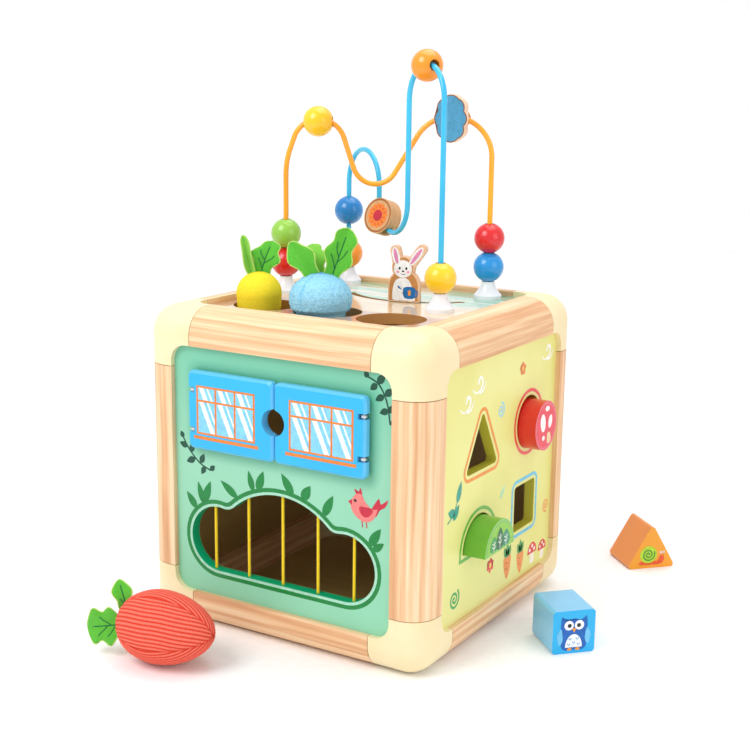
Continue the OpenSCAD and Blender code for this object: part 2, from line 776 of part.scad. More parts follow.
// The coral vegetable lies on the floor in front of the cube, its narrow end to the right.
coral_at = [-72, -266];
coral_yaw = 9;
module at_coral() {
  translate([coral_at[0], coral_at[1], coral_d / 2 + touch_gap]) rotate([0, 0, coral_yaw]) children();
}
module plush_coral() {
  taper = 0.12;
  color("salmon") at_coral() rotate([0, 90, 0]) rotate_extrude()
    polygon([for (i = [0:16]) let (u = cos(180 - 180 * i / 16))
      [i % 16 == 0 ? 0 : coral_d / 2 * sqrt(1 - pow(u, 2)) * (1 - taper * u) / 1.008,
       coral_len / 2 * u]]);
}

// A felt leaf: pointed at both ends, drawn standing on its stalk end.
felt_t = 3;
module leaf(length, width) {
  r = (pow(length, 2) + pow(width, 2)) / (4 * width);
  rotate([90, 0, 0]) linear_extrude(felt_t, center = true) intersection() {
    translate([r - width / 2, length / 2]) circle(r);
    translate([width / 2 - r, length / 2]) circle(r);
  }
}
leaf_off = 2;                  // room between a leaf's stalk end and the plush
module leaves_yellow() {
  color("limegreen") translate([yellow_at[0], yellow_at[1], yellow_top + leaf_off])
    rotate([0, 0, 30]) {
      translate([-12, -3, 0]) rotate([0, -14, 0]) leaf(46, 20);
      translate([-2, 6, 0]) rotate([-6, 0, 0]) leaf(36, 30);
      translate([12, -3, 0]) rotate([0, 30, 0]) leaf(38, 24);
    }
}
module leaves_blue() {
  color("limegreen") translate([blue_at[0], blue_at[1], blue_top + leaf_off])
    rotate([0, 0, 30]) {
      translate([-10, -4, 0]) rotate([0, -38, 0]) leaf(52, 28);
      translate([0, 7, 0]) rotate([-6, 0, 0]) leaf(36, 30);
      translate([12, -4, 0]) rotate([0, 22, 0]) leaf(54, 26);
    }
}
module leaves_coral() {
  color("limegreen") at_coral() translate([-coral_len / 2 - leaf_off, 0, 0]) {
    translate([0, -8, -18]) rotate([0, -104, 4]) rotate([0, 0, 62]) leaf(46, 40);
    translate([0, 6, 12]) rotate([0, -24, 10]) leaf(34, 24);
  }
}

// ---------- shape blocks ----------
cylinder_out = cube_size / 2 + 15;            // where the outer ends of the two blocks in their holes are
half_out = cube_size / 2 + 19;
rest_drop = block_gap - touch_gap;
cube_at = [248.5, 2];
cube_yaw = 46;
prism_at = [230, 289];
prism_yaw = 46;
module block_in_hole(out, place) {
  translate([out - block_len, place[0], place[1]]) rotate([90, 0, 90])
    linear_extrude(block_len) children();
}
module block_cylinder() {
  color("red") block_in_hole(cylinder_out, [round_at[0], round_at[1] - rest_drop])
    circle(d = round_d - 2 * block_gap);
}
module block_half_round() {
  color("limegreen") block_in_hole(half_out, [half_at[0], half_at[1] + touch_gap])
    half_profile(half_r - block_gap);
}
module block_on_floor(place, yaw) {
  translate([place[0], place[1], 0]) rotate([0, 0, yaw]) translate([0, block_len / 2, 0])
    rotate([90, 0, 0]) linear_extrude(block_len) children();
}
module block_cube() {
  side = square_side - 2 * block_gap;
  color("deepskyblue") block_on_floor(cube_at, cube_yaw)
    translate([0, side / 2]) rounded_square(side, corner_round);
}
module block_prism() {
  side = tri_side - 2 * sqrt(3) * block_gap;
  color("darkorange") block_on_floor(prism_at, prism_yaw) tri_profile(side);
}

post_front_left();
post_front_right();
post_back_left();
post_back_right();
top_rail_front();
top_rail_back();
top_rail_left();
top_rail_right();
bottom_rail_front();
bottom_rail_back();
bottom_rail_left();
bottom_rail_right();
corner_blocks_top();
corner_blocks_bottom();
frame_dowels();
front_panel();
right_panel();
back_panel();
left_panel();
top_panel();
bottom_panel();
vegetable_tray();
shutter_left();
shutter_right();
hinge_pin_left();
hinge_pin_right();
hinge_eyes();
elastic_strings();
wire_feet();
wire_orange();
wire_blue();
bead_red_left();
bead_green_left();
bead_yellow_arch();
bead_cloud();
bead_red_right();
bead_blue_right();
bead_orange_back();
bead_blue_back();
bead_flower();
bead_orange_top();
bead_yellow_front();
rabbit_figure();
rabbit_peg();
rabbit_retainer();
plush_yellow();
plush_blue();
plush_coral();
leaves_yellow();
leaves_blue();
leaves_coral();
block_cylinder();
block_half_round();
block_cube();
block_prism();
gear_front();
gear_middle();
gear_back();
gear_bolts();
gear_nuts();
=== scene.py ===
# %% [markdown]
# A baby's activity cube: a pine frame with painted panels, shutters, a string
# window, shape holes, a wire bead maze and soft vegetables. Every rigid part comes
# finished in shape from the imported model, so this lesson gives each one its real
# surface, and makes what only looks can give: prints, felt, plush and braid.

# %% Load the frame
import json
import math
import random

import bmesh
import bpy
from mathutils import Matrix, Vector, noise


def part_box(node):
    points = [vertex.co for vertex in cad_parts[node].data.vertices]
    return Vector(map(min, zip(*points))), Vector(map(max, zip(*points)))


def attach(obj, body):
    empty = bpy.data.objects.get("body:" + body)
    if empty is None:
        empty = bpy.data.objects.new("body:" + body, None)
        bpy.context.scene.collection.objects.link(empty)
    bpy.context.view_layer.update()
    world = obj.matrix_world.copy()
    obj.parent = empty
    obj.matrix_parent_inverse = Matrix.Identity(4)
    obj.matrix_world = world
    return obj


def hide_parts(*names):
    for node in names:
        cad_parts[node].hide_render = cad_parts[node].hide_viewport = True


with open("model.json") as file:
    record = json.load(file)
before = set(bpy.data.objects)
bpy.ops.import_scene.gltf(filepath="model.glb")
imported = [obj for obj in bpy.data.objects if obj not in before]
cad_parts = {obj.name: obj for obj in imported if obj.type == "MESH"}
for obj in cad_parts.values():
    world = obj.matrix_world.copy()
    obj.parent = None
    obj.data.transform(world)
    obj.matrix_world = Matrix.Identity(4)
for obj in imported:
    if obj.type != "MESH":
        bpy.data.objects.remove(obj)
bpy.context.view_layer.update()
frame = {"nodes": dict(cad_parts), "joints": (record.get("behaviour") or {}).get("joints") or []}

# %% [markdown]
# Blender counts in metres, but a toy maker thinks in millimetres. Sizes below are
# written in millimetres and turned to metres once, where a point is placed.

# %% Units and the names of the joints
MM = 0.001
joints = {j["name"]: j for j in frame["joints"]}

# %% [markdown]
# Colours are picked as sRGB hex values, as on a paint card. Shaders need linear
# light, so one function turns the first into the second.

# %% Colour helper
def linear(code):
    parts = [int(code[i:i + 2], 16) / 255 for i in (1, 3, 5)]
    return tuple(c / 12.92 if c <= 0.04045 else ((c + 0.055) / 1.055) ** 2.4
                 for c in parts) + (1.0,)


print("mid grey is", round(linear("#808080")[0], 3), "in linear light")

# %% [markdown]
# One small function adds any shader node: it sets the node's settings, then fills
# each input with a link, a colour or a number. A ramp gets its stops from the same
# call. A noise over the object, a ramp and the surface's colour come up in nearly
# every finish, so each has a short name of its own.

# %% Node helper
def add_node(tree, kind, inputs=None, stops=None, **settings):
    made = tree.nodes.new("ShaderNode" + kind)
    for key, value in settings.items():
        setattr(made, key, value)
    for key, value in (inputs or {}).items():
        if isinstance(value, bpy.types.NodeSocket):
            tree.links.new(value, made.inputs[key])
        else:
            made.inputs[key].default_value = linear(value) if isinstance(value, str) else value
    if stops:
        ends = made.color_ramp.elements
        ends[0].position, ends[0].color = stops[0][0], linear(stops[0][1])
        ends[1].position, ends[1].color = stops[-1][0], linear(stops[-1][1])
        for place, colour in stops[1:-1]:
            ends.new(place).color = linear(colour)
    return made


def start_finish(name, **sockets):
    """A new material with a Principled surface, whose plain numbers are set here."""
    finish = bpy.data.materials.new(name)
    finish.use_nodes = True
    surface = finish.node_tree.nodes["Principled BSDF"]
    for key, value in sockets.items():
        surface.inputs[key.replace("_", " ")].default_value = value
    return finish, finish.node_tree, surface


def placed(tree, scale=(1, 1, 1)):
    """The object's own coordinates, in metres, stretched by a scale."""
    where = add_node(tree, "TexCoord").outputs["Object"]
    return add_node(tree, "Mapping", {"Vector": where, "Scale": scale}).outputs["Vector"]


def speckle(tree, scale, detail=2.0, where=None):
    """A noise of 0 to 1 over the object, as many cells to a metre as scale says."""
    where = placed(tree) if where is None else where
    return add_node(tree, "TexNoise", {"Vector": where, "Scale": scale,
                                       "Detail": detail}).outputs["Fac"]


def ramp(tree, value, *stops):
    """A colour picked by a value of 0 to 1, from stops of (place, colour)."""
    return add_node(tree, "ValToRGB", {"Fac": value}, stops=stops).outputs["Color"]


def tint(tree, surface, colour):
    tree.links.new(colour, surface.inputs["Base Color"])


def roughen(tree, surface, height, depth, strength=1.0):
    """Bump of a real depth in metres, from a height pattern of 0 to 1."""
    bump = add_node(tree, "Bump", {"Strength": strength, "Distance": depth, "Height": height})
    tree.links.new(bump.outputs["Normal"], surface.inputs["Normal"])


def cover(finish, *nodes):
    """Gives CAD nodes a finish through their own material slots."""
    for name in nodes:
        for one in frame["nodes"][name].material_slots:
            one.material = finish
    print(finish.name, "on", len(nodes), "nodes")

# %% [markdown]
# The posts and rails are bare sanded pine. Pine's growth rings show as long stripes
# along each piece, 3 to 12 mm apart, pale spring wood against darker summer wood.
# A noise stretched some 70 times along the grain gives them, and a second, finer one the
# short fibre lines. Each direction of grain needs its own stretch, so there are
# three versions. Sanded softwood without lacquer is dull, so roughness stays high.

# %% Sanded pine
def sanded_pine(name, along):
    finish, tree, surface = start_finish(name, Roughness=0.5, IOR=1.5)
    surface.inputs["Specular IOR Level"].default_value = 0.35
    rings = [150.0, 150.0, 150.0]
    rings[along] = 2.2
    fibres = [620.0, 620.0, 620.0]
    fibres[along] = 14.0
    waver = add_node(tree, "TexNoise", {"Vector": placed(tree, (3, 3, 3)), "Scale": 2.0})
    bent = add_node(tree, "VectorMath", {0: placed(tree, rings), 1: waver.outputs["Color"]},
                    operation="ADD").outputs["Vector"]
    ring = add_node(tree, "TexNoise", {"Vector": bent, "Scale": 1.0, "Detail": 2.0,
                                       "Roughness": 0.45}).outputs["Fac"]
    fibre = speckle(tree, 1.0, 1.0, placed(tree, fibres))
    wood = ramp(tree, ring, (0.28, "#f8ddb8"), (0.42, "#f3cfa4"), (0.52, "#ecc195"),
                (0.62, "#e2b083"), (0.72, "#daa477"))
    shade = ramp(tree, fibre, (0.3, "#f1e4d8"), (0.6, "#ffffff"))
    colour = add_node(tree, "Mix", {0: 0.6, 6: wood, 7: shade}, data_type="RGBA",
                      blend_type="MULTIPLY").outputs[2]
    tint(tree, surface, colour)
    roughen(tree, surface, fibre, 0.00006, 0.5)
    return finish


for along, letter in enumerate("xyz"):
    pine = sanded_pine(f"sanded_pine_grain_{letter}", along)
    cover(pine, *[[f"{end}_rail_{side}" for end in ("top", "bottom")
                   for side in ("front", "back")],
                  [f"{end}_rail_{side}" for end in ("top", "bottom")
                   for side in ("left", "right")],
                  [f"post_{y}_{x}" for y in ("front", "back")
                   for x in ("left", "right")]][along])

# %% [markdown]
# The eight corner blocks are sprayed with cream paint, satin and very even, with a
# faint orange-peel skin. The same recipe, with other colours, serves every painted
# wooden piece: a slow tone change, a fine skin, and a clear coat where it is gloss.

# %% Sprayed paint
def sprayed_paint(name, main, deep, rough=0.38, coat=0.0, skin=0.00002):
    finish, tree, surface = start_finish(name, Roughness=rough, IOR=1.5, Coat_Weight=coat,
                                         Coat_Roughness=0.08)
    drift = speckle(tree, 16.0)
    colour = ramp(tree, drift, (0.25, deep), (0.6, main))
    tint(tree, surface, colour)
    peel = speckle(tree, 700.0)
    roughen(tree, surface, peel, skin, 0.35)
    return finish


cover(sprayed_paint("cream_satin_paint", "#f4e2b6", "#eed8a4"),
      "corner_blocks_top", "corner_blocks_bottom")
cover(sprayed_paint("beech_dowel", "#e2b27c", "#cf9a62", rough=0.6), "frame_dowels",
      "rabbit_peg")
cover(sprayed_paint("white_enamel_paint", "#f1f3f8", "#e4e8f0", rough=0.3, coat=0.3),
      "wire_feet")
for name, main, deep in (("red", "#dd161c", "#c20f16"), ("green", "#94cb45", "#7fb934"),
                         ("yellow", "#ffd21c", "#fcc008"), ("orange", "#ff9d16", "#f78a06"),
                         ("blue", "#0c92dc", "#007cc4")):
    cover(sprayed_paint(f"{name}_bead_lacquer", main, deep, rough=0.26, coat=0.45),
          *[n for n in frame["nodes"] if n.startswith(f"bead_{name}")])

# %% [markdown]
# The maze wires are steel rod with a baked powder coat: glossy, with a soft
# highlight that runs along the whole bend.

# %% Powder coat
for name, main, deep in (("wire_orange", "#ffae12", "#f79a0c"),
                         ("wire_blue", "#38c2ec", "#27b2e0")):
    cover(sprayed_paint(f"{name}_powder_coat", main, deep, rough=0.24, coat=0.5), name)

# %% [markdown]
# Eyes, pins, bolts and nuts are zinc-plated steel. Plating is a metal with a fine
# satin scatter, so the colour is the metal's own and only roughness varies.

# %% Zinc plating
zinc, tree, surface = start_finish("zinc_plated_steel", Metallic=1.0, Roughness=0.3)
spangle = speckle(tree, 260.0)
tone = ramp(tree, spangle, (0.3, "#b4b8be"), (0.7, "#dadde2"))
tint(tree, surface, tone)
scatter = add_node(tree, "MapRange", {"Value": spangle, "To Min": 0.22,
                                      "To Max": 0.42}).outputs["Result"]
tree.links.new(scatter, surface.inputs["Roughness"])
cover(zinc, "hinge_eyes", "hinge_pin_left", "hinge_pin_right", "gear_bolts", "gear_nuts",
      "rabbit_retainer")

# %% [markdown]
# The panels are plywood, printed or sprayed on the outside only. Masks from the object's own
# coordinates split each one into its painted face, the sprayed cut edges of its holes, and the
# bare inside, which is coloured dark brown as painted shade inside the cube. This keeps one node
# one material.

# %% Masks from places
def along(tree, axis):
    """One of the object's coordinates, in millimetres."""
    where = add_node(tree, "TexCoord").outputs["Object"]
    one = add_node(tree, "SeparateXYZ", {"Vector": where}).outputs["XYZ"[axis]]
    return add_node(tree, "Math", {0: one, 1: 1000.0}, operation="MULTIPLY").outputs[0]


def beyond(tree, value, limit, up=True):
    """1 where value is past a limit, 0 elsewhere."""
    return add_node(tree, "Math", {0: value, 1: limit},
                    operation="GREATER_THAN" if up else "LESS_THAN").outputs[0]


def blended(tree, factor, low, high, kind="MIX"):
    return add_node(tree, "Mix", {0: factor, 6: low, 7: high}, data_type="RGBA",
                    blend_type=kind).outputs[2]


def outside_distance(tree, value, centre, half):
    """How far value is outside the stretch centre - half to centre + half."""
    shifted = add_node(tree, "Math", {0: value, 1: centre}, operation="SUBTRACT").outputs[0]
    size = add_node(tree, "Math", {0: shifted}, operation="ABSOLUTE").outputs[0]
    past = add_node(tree, "Math", {0: size, 1: half}, operation="SUBTRACT").outputs[0]
    return add_node(tree, "Math", {0: past, 1: 0.0}, operation="MAXIMUM").outputs[0]


def painted_panel(name, face, edge, axis, front, back, out_is_up):
    """front and back are the panel's two faces along axis, in millimetres."""
    finish, tree, surface = start_finish(name, Roughness=0.42, IOR=1.5)
    deep = along(tree, axis)
    inside = beyond(tree, deep, back + (0.3 if out_is_up else -0.3), not out_is_up)
    at_face = beyond(tree, deep, front - (0.25 if out_is_up else -0.25), out_is_up)
    drift = speckle(tree, 9.0, 3.0)
    # Painted shade: the bare inner face is coloured dark brown for the shade inside the cube.
    plain = ramp(tree, drift, (0.3, "#a3874a"), (0.7, "#b69a58"))
    sides = blended(tree, at_face, edge, face(tree, drift))
    tint(tree, surface, blended(tree, inside, sides, plain))
    peel = speckle(tree, 520.0)
    roughen(tree, surface, peel, 0.00002, 0.4)
    return finish

# %% [markdown]
# The front panel is sprayed mint green, a little darker at the top, with a painted shadow round
# the shutters. The distance from the shutters' rectangle drives that painted shadow. The cut edges
# of the cloud opening are a stronger green.

# %% Mint front panel
shutter_low, shutter_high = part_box("shutter_left")
_, right_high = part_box("shutter_right")
front_low, front_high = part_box("front_panel")
shutters_mid = (shutter_low.z + shutter_high.z) / 2 / MM
shutters_half = [(right_high.x - shutter_low.x) / 2 / MM,
                 (shutter_high.z - shutter_low.z) / 2 / MM]
front_face = front_low.y / MM


def mint(tree, drift):
    up = add_node(tree, "MapRange", {"Value": along(tree, 2), "From Min": 60.0,
                                     "From Max": 320.0}).outputs["Result"]
    base = ramp(tree, up, (0.0, "#8fd2ae"), (0.55, "#97d3b4"), (1.0, "#74c4a4"))
    # Painted shadow: the green turns darker within 17 mm of the shutters' rectangle.
    wide = outside_distance(tree, along(tree, 0), 0.0, shutters_half[0] - 4)
    tall = outside_distance(tree, along(tree, 2), shutters_mid - 2, shutters_half[1] - 4)
    squares = [add_node(tree, "Math", {0: v, 1: 2.0}, operation="POWER").outputs[0]
               for v in (wide, tall)]
    total = add_node(tree, "Math", {0: squares[0], 1: squares[1]}, operation="ADD").outputs[0]
    far = add_node(tree, "Math", {0: total, 1: 0.5}, operation="POWER").outputs[0]
    shade = add_node(tree, "MapRange", {"Value": far, "From Min": 3.0, "From Max": 17.0,
                                        "To Min": 0.62, "To Max": 0.0}).outputs["Result"]
    tinted = blended(tree, shade, base, "#46ad86")
    mottled = ramp(tree, drift, (0.3, "#f1f7f4"), (0.7, "#ffffff"))
    return blended(tree, 1.0, tinted, mottled, "MULTIPLY")


cover(painted_panel("mint_sprayed_plywood", mint, "#00ad72", 1, front_face,
                    front_high.y / MM, False), "front_panel")

# %% [markdown]
# The shape-sorting side is pale lemon, with a warmer patch round the blocks, and an
# olive-lime tone on the cut edges of the holes.

# %% Lemon side panel
right_low, right_panel_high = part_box("right_panel")
right_face = right_panel_high.x / MM


def lemon(tree, drift):
    return ramp(tree, drift, (0.28, "#e2dd80"), (0.5, "#e8e48e"), (0.72, "#ece898"))


cover(painted_panel("lemon_sprayed_plywood", lemon, "#c9c13c", 0, right_face,
                    right_low.x / MM, True), "right_panel")

# %% [markdown]
# The back and left panels and the tray are clear-coated plywood. Rotary-cut veneer shows wide,
# soft flames rather than stripes, so the grain noise is bent more and stretched less than on the
# pine. Inside the cube the same boards are coloured brown, as painted shade.

# %% Clear-coated plywood
def veneer(name, along_axis, inside_axis=None, inside_limit=0.0, inside_up=True):
    finish, tree, surface = start_finish(name, Roughness=0.4, IOR=1.5, Coat_Weight=0.15)
    stretch = [26.0, 26.0, 26.0]
    stretch[along_axis] = 3.0
    waver = add_node(tree, "TexNoise", {"Vector": placed(tree, (6, 6, 6)), "Scale": 1.0})
    bent = add_node(tree, "VectorMath", {0: placed(tree, stretch), 1: waver.outputs["Color"]},
                    operation="ADD").outputs["Vector"]
    flame = add_node(tree, "TexNoise", {"Vector": bent, "Scale": 1.0, "Detail": 4.0,
                                        "Roughness": 0.55}).outputs["Fac"]
    colour = ramp(tree, flame, (0.3, "#f2ddb6"), (0.5, "#ead0a2"), (0.6, "#dfbf8c"),
                  (0.75, "#e9cd9e"))
    # Painted shade: the inner face turns brown for the shade inside the cube.
    if inside_axis is not None:
        inside = beyond(tree, along(tree, inside_axis), inside_limit, inside_up)
        brown = ramp(tree, flame, (0.3, "#b09252"), (0.7, "#c2a562"))
        colour = blended(tree, inside, colour, brown)
    tint(tree, surface, colour)
    roughen(tree, surface, flame, 0.00004, 0.4)
    return finish


back_low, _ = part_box("back_panel")
_, left_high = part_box("left_panel")
_, bottom_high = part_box("bottom_panel")
cover(veneer("veneer_back", 0, 1, back_low.y / MM + 0.5, False), "back_panel")
cover(veneer("veneer_left", 1, 0, left_high.x / MM - 0.5, True), "left_panel")
cover(veneer("veneer_bottom", 0, 2, bottom_high.z / MM - 0.5, True), "bottom_panel")
cover(veneer("veneer_tray", 0), "vegetable_tray")

# %% [markdown]
# The top is a lacquered picture of a garden: brown soil round the vegetable holes,
# pale bare wood across the middle and sea-green grass with pink and cream strokes
# behind. It is one ramp along the depth of the cube, whose edges a noise makes
# wavy, and brush strokes are a noise stretched along the width. A thick clear coat
# gives the mirror-like shine that the pieces above reflect in.

# %% Lacquered garden print
garden, tree, surface = start_finish("lacquered_garden_print", Roughness=0.3, IOR=1.5,
                                     Coat_Weight=0.9, Coat_Roughness=0.04)
wobble = speckle(tree, 1.0, 2.0, placed(tree, (9, 14, 1)))
shift = add_node(tree, "MapRange", {"Value": wobble, "From Min": 0.2, "From Max": 0.8,
                                    "To Min": -26.0, "To Max": 26.0}).outputs["Result"]
depth = add_node(tree, "Math", {0: along(tree, 1), 1: shift}, operation="ADD").outputs[0]
part = add_node(tree, "MapRange", {"Value": depth, "From Min": -141.0,
                                   "From Max": 141.0}).outputs["Result"]
zones = ramp(tree, part, (0.0, "#d8b593"), (0.14, "#c79f7e"), (0.30, "#b98767"),
             (0.37, "#c2906c"), (0.41, "#ecd2a8"), (0.58, "#efd8b2"), (0.63, "#a8d8bb"),
             (0.80, "#86cbae"), (1.0, "#74c2a6"))
brush = speckle(tree, 1.0, 2.0, placed(tree, (13, 95, 1)))
behind = beyond(tree, depth, 38.0)
pinks = ramp(tree, brush, (0.40, "#5fb897"), (0.47, "#8fd0b2"), (0.53, "#8fd0b2"),
             (0.57, "#f0dcb6"), (0.62, "#f0b2a4"), (0.70, "#f7d9c0"))
some = add_node(tree, "Math", {0: behind, 1: 0.75}, operation="MULTIPLY").outputs[0]
colour = blended(tree, some, zones, pinks)
fibre = ramp(tree, brush, (0.3, "#eee2d6"), (0.6, "#ffffff"))
colour = blended(tree, 0.7, colour, fibre, "MULTIPLY")
_, top_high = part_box("top_panel")
# Below the printed face the edges and underside are bare wood, coloured dark brown as painted
# shade inside the cube.
below = beyond(tree, along(tree, 2), top_high.z / MM - 0.3, False)
tint(tree, surface, blended(tree, below, colour, "#b9854f"))
cover(garden, "top_panel")

# %% [markdown]
# The shutters are solid wood with gloss blue paint. Their bevels carry painted light: the blue
# turns paler wherever the surface leans away from the front, as a painted highlight. The surface's
# own normal tells where that is. The blocks use the same painted light and shade with their own
# two tones.

# %% Shutter and block paint
def edge_lit_paint(name, face, edge, front_axis, rough=0.3, coat=0.35, tilt=None):
    """Paint whose tone changes where the surface doesn't face along front_axis."""
    finish, tree, surface = start_finish(name, Roughness=rough, IOR=1.5, Coat_Weight=coat,
                                         Coat_Roughness=0.1)
    # Painted light and shade: the colour changes with the surface's facing, not with the paint.
    normal = add_node(tree, "TexCoord").outputs["Normal"]
    facing = add_node(tree, "VectorMath", {0: normal, 1: front_axis},
                      operation="DOT_PRODUCT").outputs["Value"]
    size = add_node(tree, "Math", {0: facing}, operation="ABSOLUTE").outputs[0]
    away = add_node(tree, "MapRange", {"Value": size, "From Min": 0.97, "From Max": 0.6,
                                       "To Min": 0.0, "To Max": 1.0}).outputs["Result"]
    drift = speckle(tree, 14.0)
    tone = ramp(tree, drift, (0.3, "#eef4f6"), (0.7, "#ffffff"))
    colour = blended(tree, 1.0, blended(tree, away, face, edge), tone, "MULTIPLY")
    tint(tree, surface, colour)
    peel = speckle(tree, 600.0)
    roughen(tree, surface, peel, 0.00002, 0.3)
    return finish


cover(edge_lit_paint("shutter_gloss_blue", "#00b2ea", "#66c6f6", (0, 1, 0)),
      "shutter_left", "shutter_right")
cover(edge_lit_paint("red_block_enamel", "#e8485c", "#e4231f", (1, 0, 0)), "block_cylinder")
cover(edge_lit_paint("green_block_enamel", "#7cc243", "#6db936", (1, 0, 0)),
      "block_half_round")

# %% [markdown]
# The gears are plywood discs, painted on the faces only. Their cut teeth show the
# plies: 1.5 mm layers of alternating tone, drawn by a wave across the thickness.

# %% Gear paint over plies
gear_low, gear_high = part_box("gear_middle")
for place, main in (("front", "#d8392b"), ("middle", "#f2c230"), ("back", "#2a8fc9")):
    finish, tree, surface = start_finish(f"gear_{place}_painted_plywood", Roughness=0.36,
                                         Coat_Weight=0.2)
    ply = add_node(tree, "TexWave", {"Vector": placed(tree), "Scale": 105.0},
                   bands_direction="X").outputs["Fac"]
    plies = ramp(tree, ply, (0.35, "#e8cb9a"), (0.65, "#b98d58"))
    middle = (gear_low.x + gear_high.x) / 2 / MM
    near_face = add_node(tree, "Math", {0: along(tree, 0), 1: middle, 2: 4.2},
                         operation="COMPARE").outputs[0]
    tint(tree, surface, blended(tree, near_face, main, plies))
    grain = speckle(tree, 1.0, 2.0, placed(tree, (30, 300, 30)))
    roughen(tree, surface, grain, 0.00005, 0.4)
    cover(finish, f"gear_{place}")

# %% [markdown]
# Flower bead, cloud bead and rabbit are cut from plywood by a laser: pale flat wood
# with a brown burnt edge line. The prints on their faces follow further down.

# %% Laser-cut wood
def cut_wood(name, pale, deep):
    finish, tree, surface = start_finish(name, Roughness=0.5, IOR=1.5)
    grain = speckle(tree, 1.0, 2.0, placed(tree, (420, 420, 40)))
    colour = ramp(tree, grain, (0.3, deep), (0.65, pale))
    tint(tree, surface, colour)
    roughen(tree, surface, grain, 0.00006, 0.5)
    return finish


cover(cut_wood("laser_cut_lime_wood", "#f3cfae", "#e9bf99"), "bead_cloud")
cover(cut_wood("laser_cut_beech", "#dcab77", "#c99662"), "bead_flower")
cover(cut_wood("laser_cut_rabbit_plate", "#f0c8a4", "#e3b189"), "rabbit_figure")
# The cube and prism get the same painted light and shade on their edges.
cover(edge_lit_paint("blue_cube_enamel", "#00b0ea", "#7cc8f5", (0.72, -0.69, 0)),
      "block_cube")
cover(edge_lit_paint("orange_prism_enamel", "#f9a210", "#f28a00", (0.72, -0.69, 0)),
      "block_prism")

# %% [markdown]
# Every picture on the toy is screen printing: films of ink a tenth of a millimetre
# proud of the paint. A print is gathered in a mesh from outlines in millimetres on
# its own face, and a place function lifts those points onto the toy. Smooth outlines
# come from few points, through a curve that passes each of them.

# %% Outlines
INK = 0.10
LAYER = 0.06


def smooth(points, closed=True, steps=6):
    """A rounded outline through a few points."""
    made, n = [], len(points)
    for i in range(n if closed else n - 1):
        four = [points[(i + k) % n if closed else min(max(i + k, 0), n - 1)]
                for k in (-1, 0, 1, 2)]
        for s in range(steps):
            t = s / steps
            made.append(tuple(0.5 * (2 * b + (c - a) * t + (2 * a - 5 * b + 4 * c - d) * t * t
                                     + (3 * b - a - 3 * c + d) * t ** 3)
                              for a, b, c, d in zip(*four)))
    return made if closed else made + [tuple(points[-1])]


def oval(centre, half_w, half_h=None, lean=0.0, from_deg=0.0, to_deg=360.0, steps=32):
    half_h = half_w if half_h is None else half_h
    turn = math.radians(lean)
    made = []
    for i in range(steps if to_deg - from_deg >= 360 else steps + 1):
        a = math.radians(from_deg + (to_deg - from_deg) * i / steps)
        x, y = half_w * math.cos(a), half_h * math.sin(a)
        made.append((centre[0] + x * math.cos(turn) - y * math.sin(turn),
                     centre[1] + x * math.sin(turn) + y * math.cos(turn)))
    return made


def oblong(low, high):
    return [low, (high[0], low[1]), high, (low[0], high[1])]


def offset_loop(loop, distance):
    """An outline moved outwards by a distance; inwards if it is negative."""
    n = len(loop)
    area = sum(loop[i][0] * loop[(i + 1) % n][1] - loop[(i + 1) % n][0] * loop[i][1]
               for i in range(n))
    side = 1 if area > 0 else -1
    made = []
    for i in range(n):
        before, here, after = (Vector(loop[(i + k) % n]) for k in (-1, 0, 1))
        one, two = (here - before).normalized(), (after - here).normalized()
        outs = [Vector((d.y, -d.x)) * side for d in (one, two)]
        middle = (outs[0] + outs[1]).normalized()
        made.append(tuple(here + middle * distance / max(middle.dot(outs[0]), 0.4)))
    return made


print("an oval has", len(oval((0, 0), 1)), "points")

# %% [markdown]
# A print keeps one mesh, and one ink for each colour in it. Ink is a little mottled,
# semi-gloss and never quite even, which a fine noise gives.

# %% Ink and print tools
inks = {}


def ink(colour):
    if colour not in inks:
        finish, tree, surface = start_finish("screen_ink_" + colour[1:], Roughness=0.36,
                                             IOR=1.48)
        speck = speckle(tree, 240.0)
        tone = ramp(tree, speck, (0.3, "#ebebeb"), (0.6, "#ffffff"))
        flat = add_node(tree, "RGB")
        flat.outputs[0].default_value = linear(colour)
        tint(tree, surface, blended(tree, 1.0, flat.outputs[0], tone, "MULTIPLY"))
        roughen(tree, surface, speck, 0.00001, 0.3)
        inks[colour] = finish
    return inks[colour]


def start_print(name, place):
    return {"name": name, "place": place, "mesh": bmesh.new(), "inks": []}


def fill(sheet, outline, colour, layer=0):
    if colour not in sheet["inks"]:
        sheet["inks"].append(colour)
    points = [sheet["mesh"].verts.new(Vector(sheet["place"](a, b, INK + LAYER * layer)) * MM)
              for a, b in outline]
    sheet["mesh"].faces.new(points).material_index = sheet["inks"].index(colour)


def band(sheet, outer, inner, colour, layer=0):
    """The strip between two outlines with the same number of points."""
    if colour not in sheet["inks"]:
        sheet["inks"].append(colour)
    rings = [[sheet["mesh"].verts.new(Vector(sheet["place"](a, b, INK + LAYER * layer)) * MM)
              for a, b in loop] for loop in (outer, inner)]
    for i in range(len(outer)):
        j = (i + 1) % len(outer)
        face = sheet["mesh"].faces.new((rings[0][i], rings[0][j], rings[1][j], rings[1][i]))
        face.material_index = sheet["inks"].index(colour)


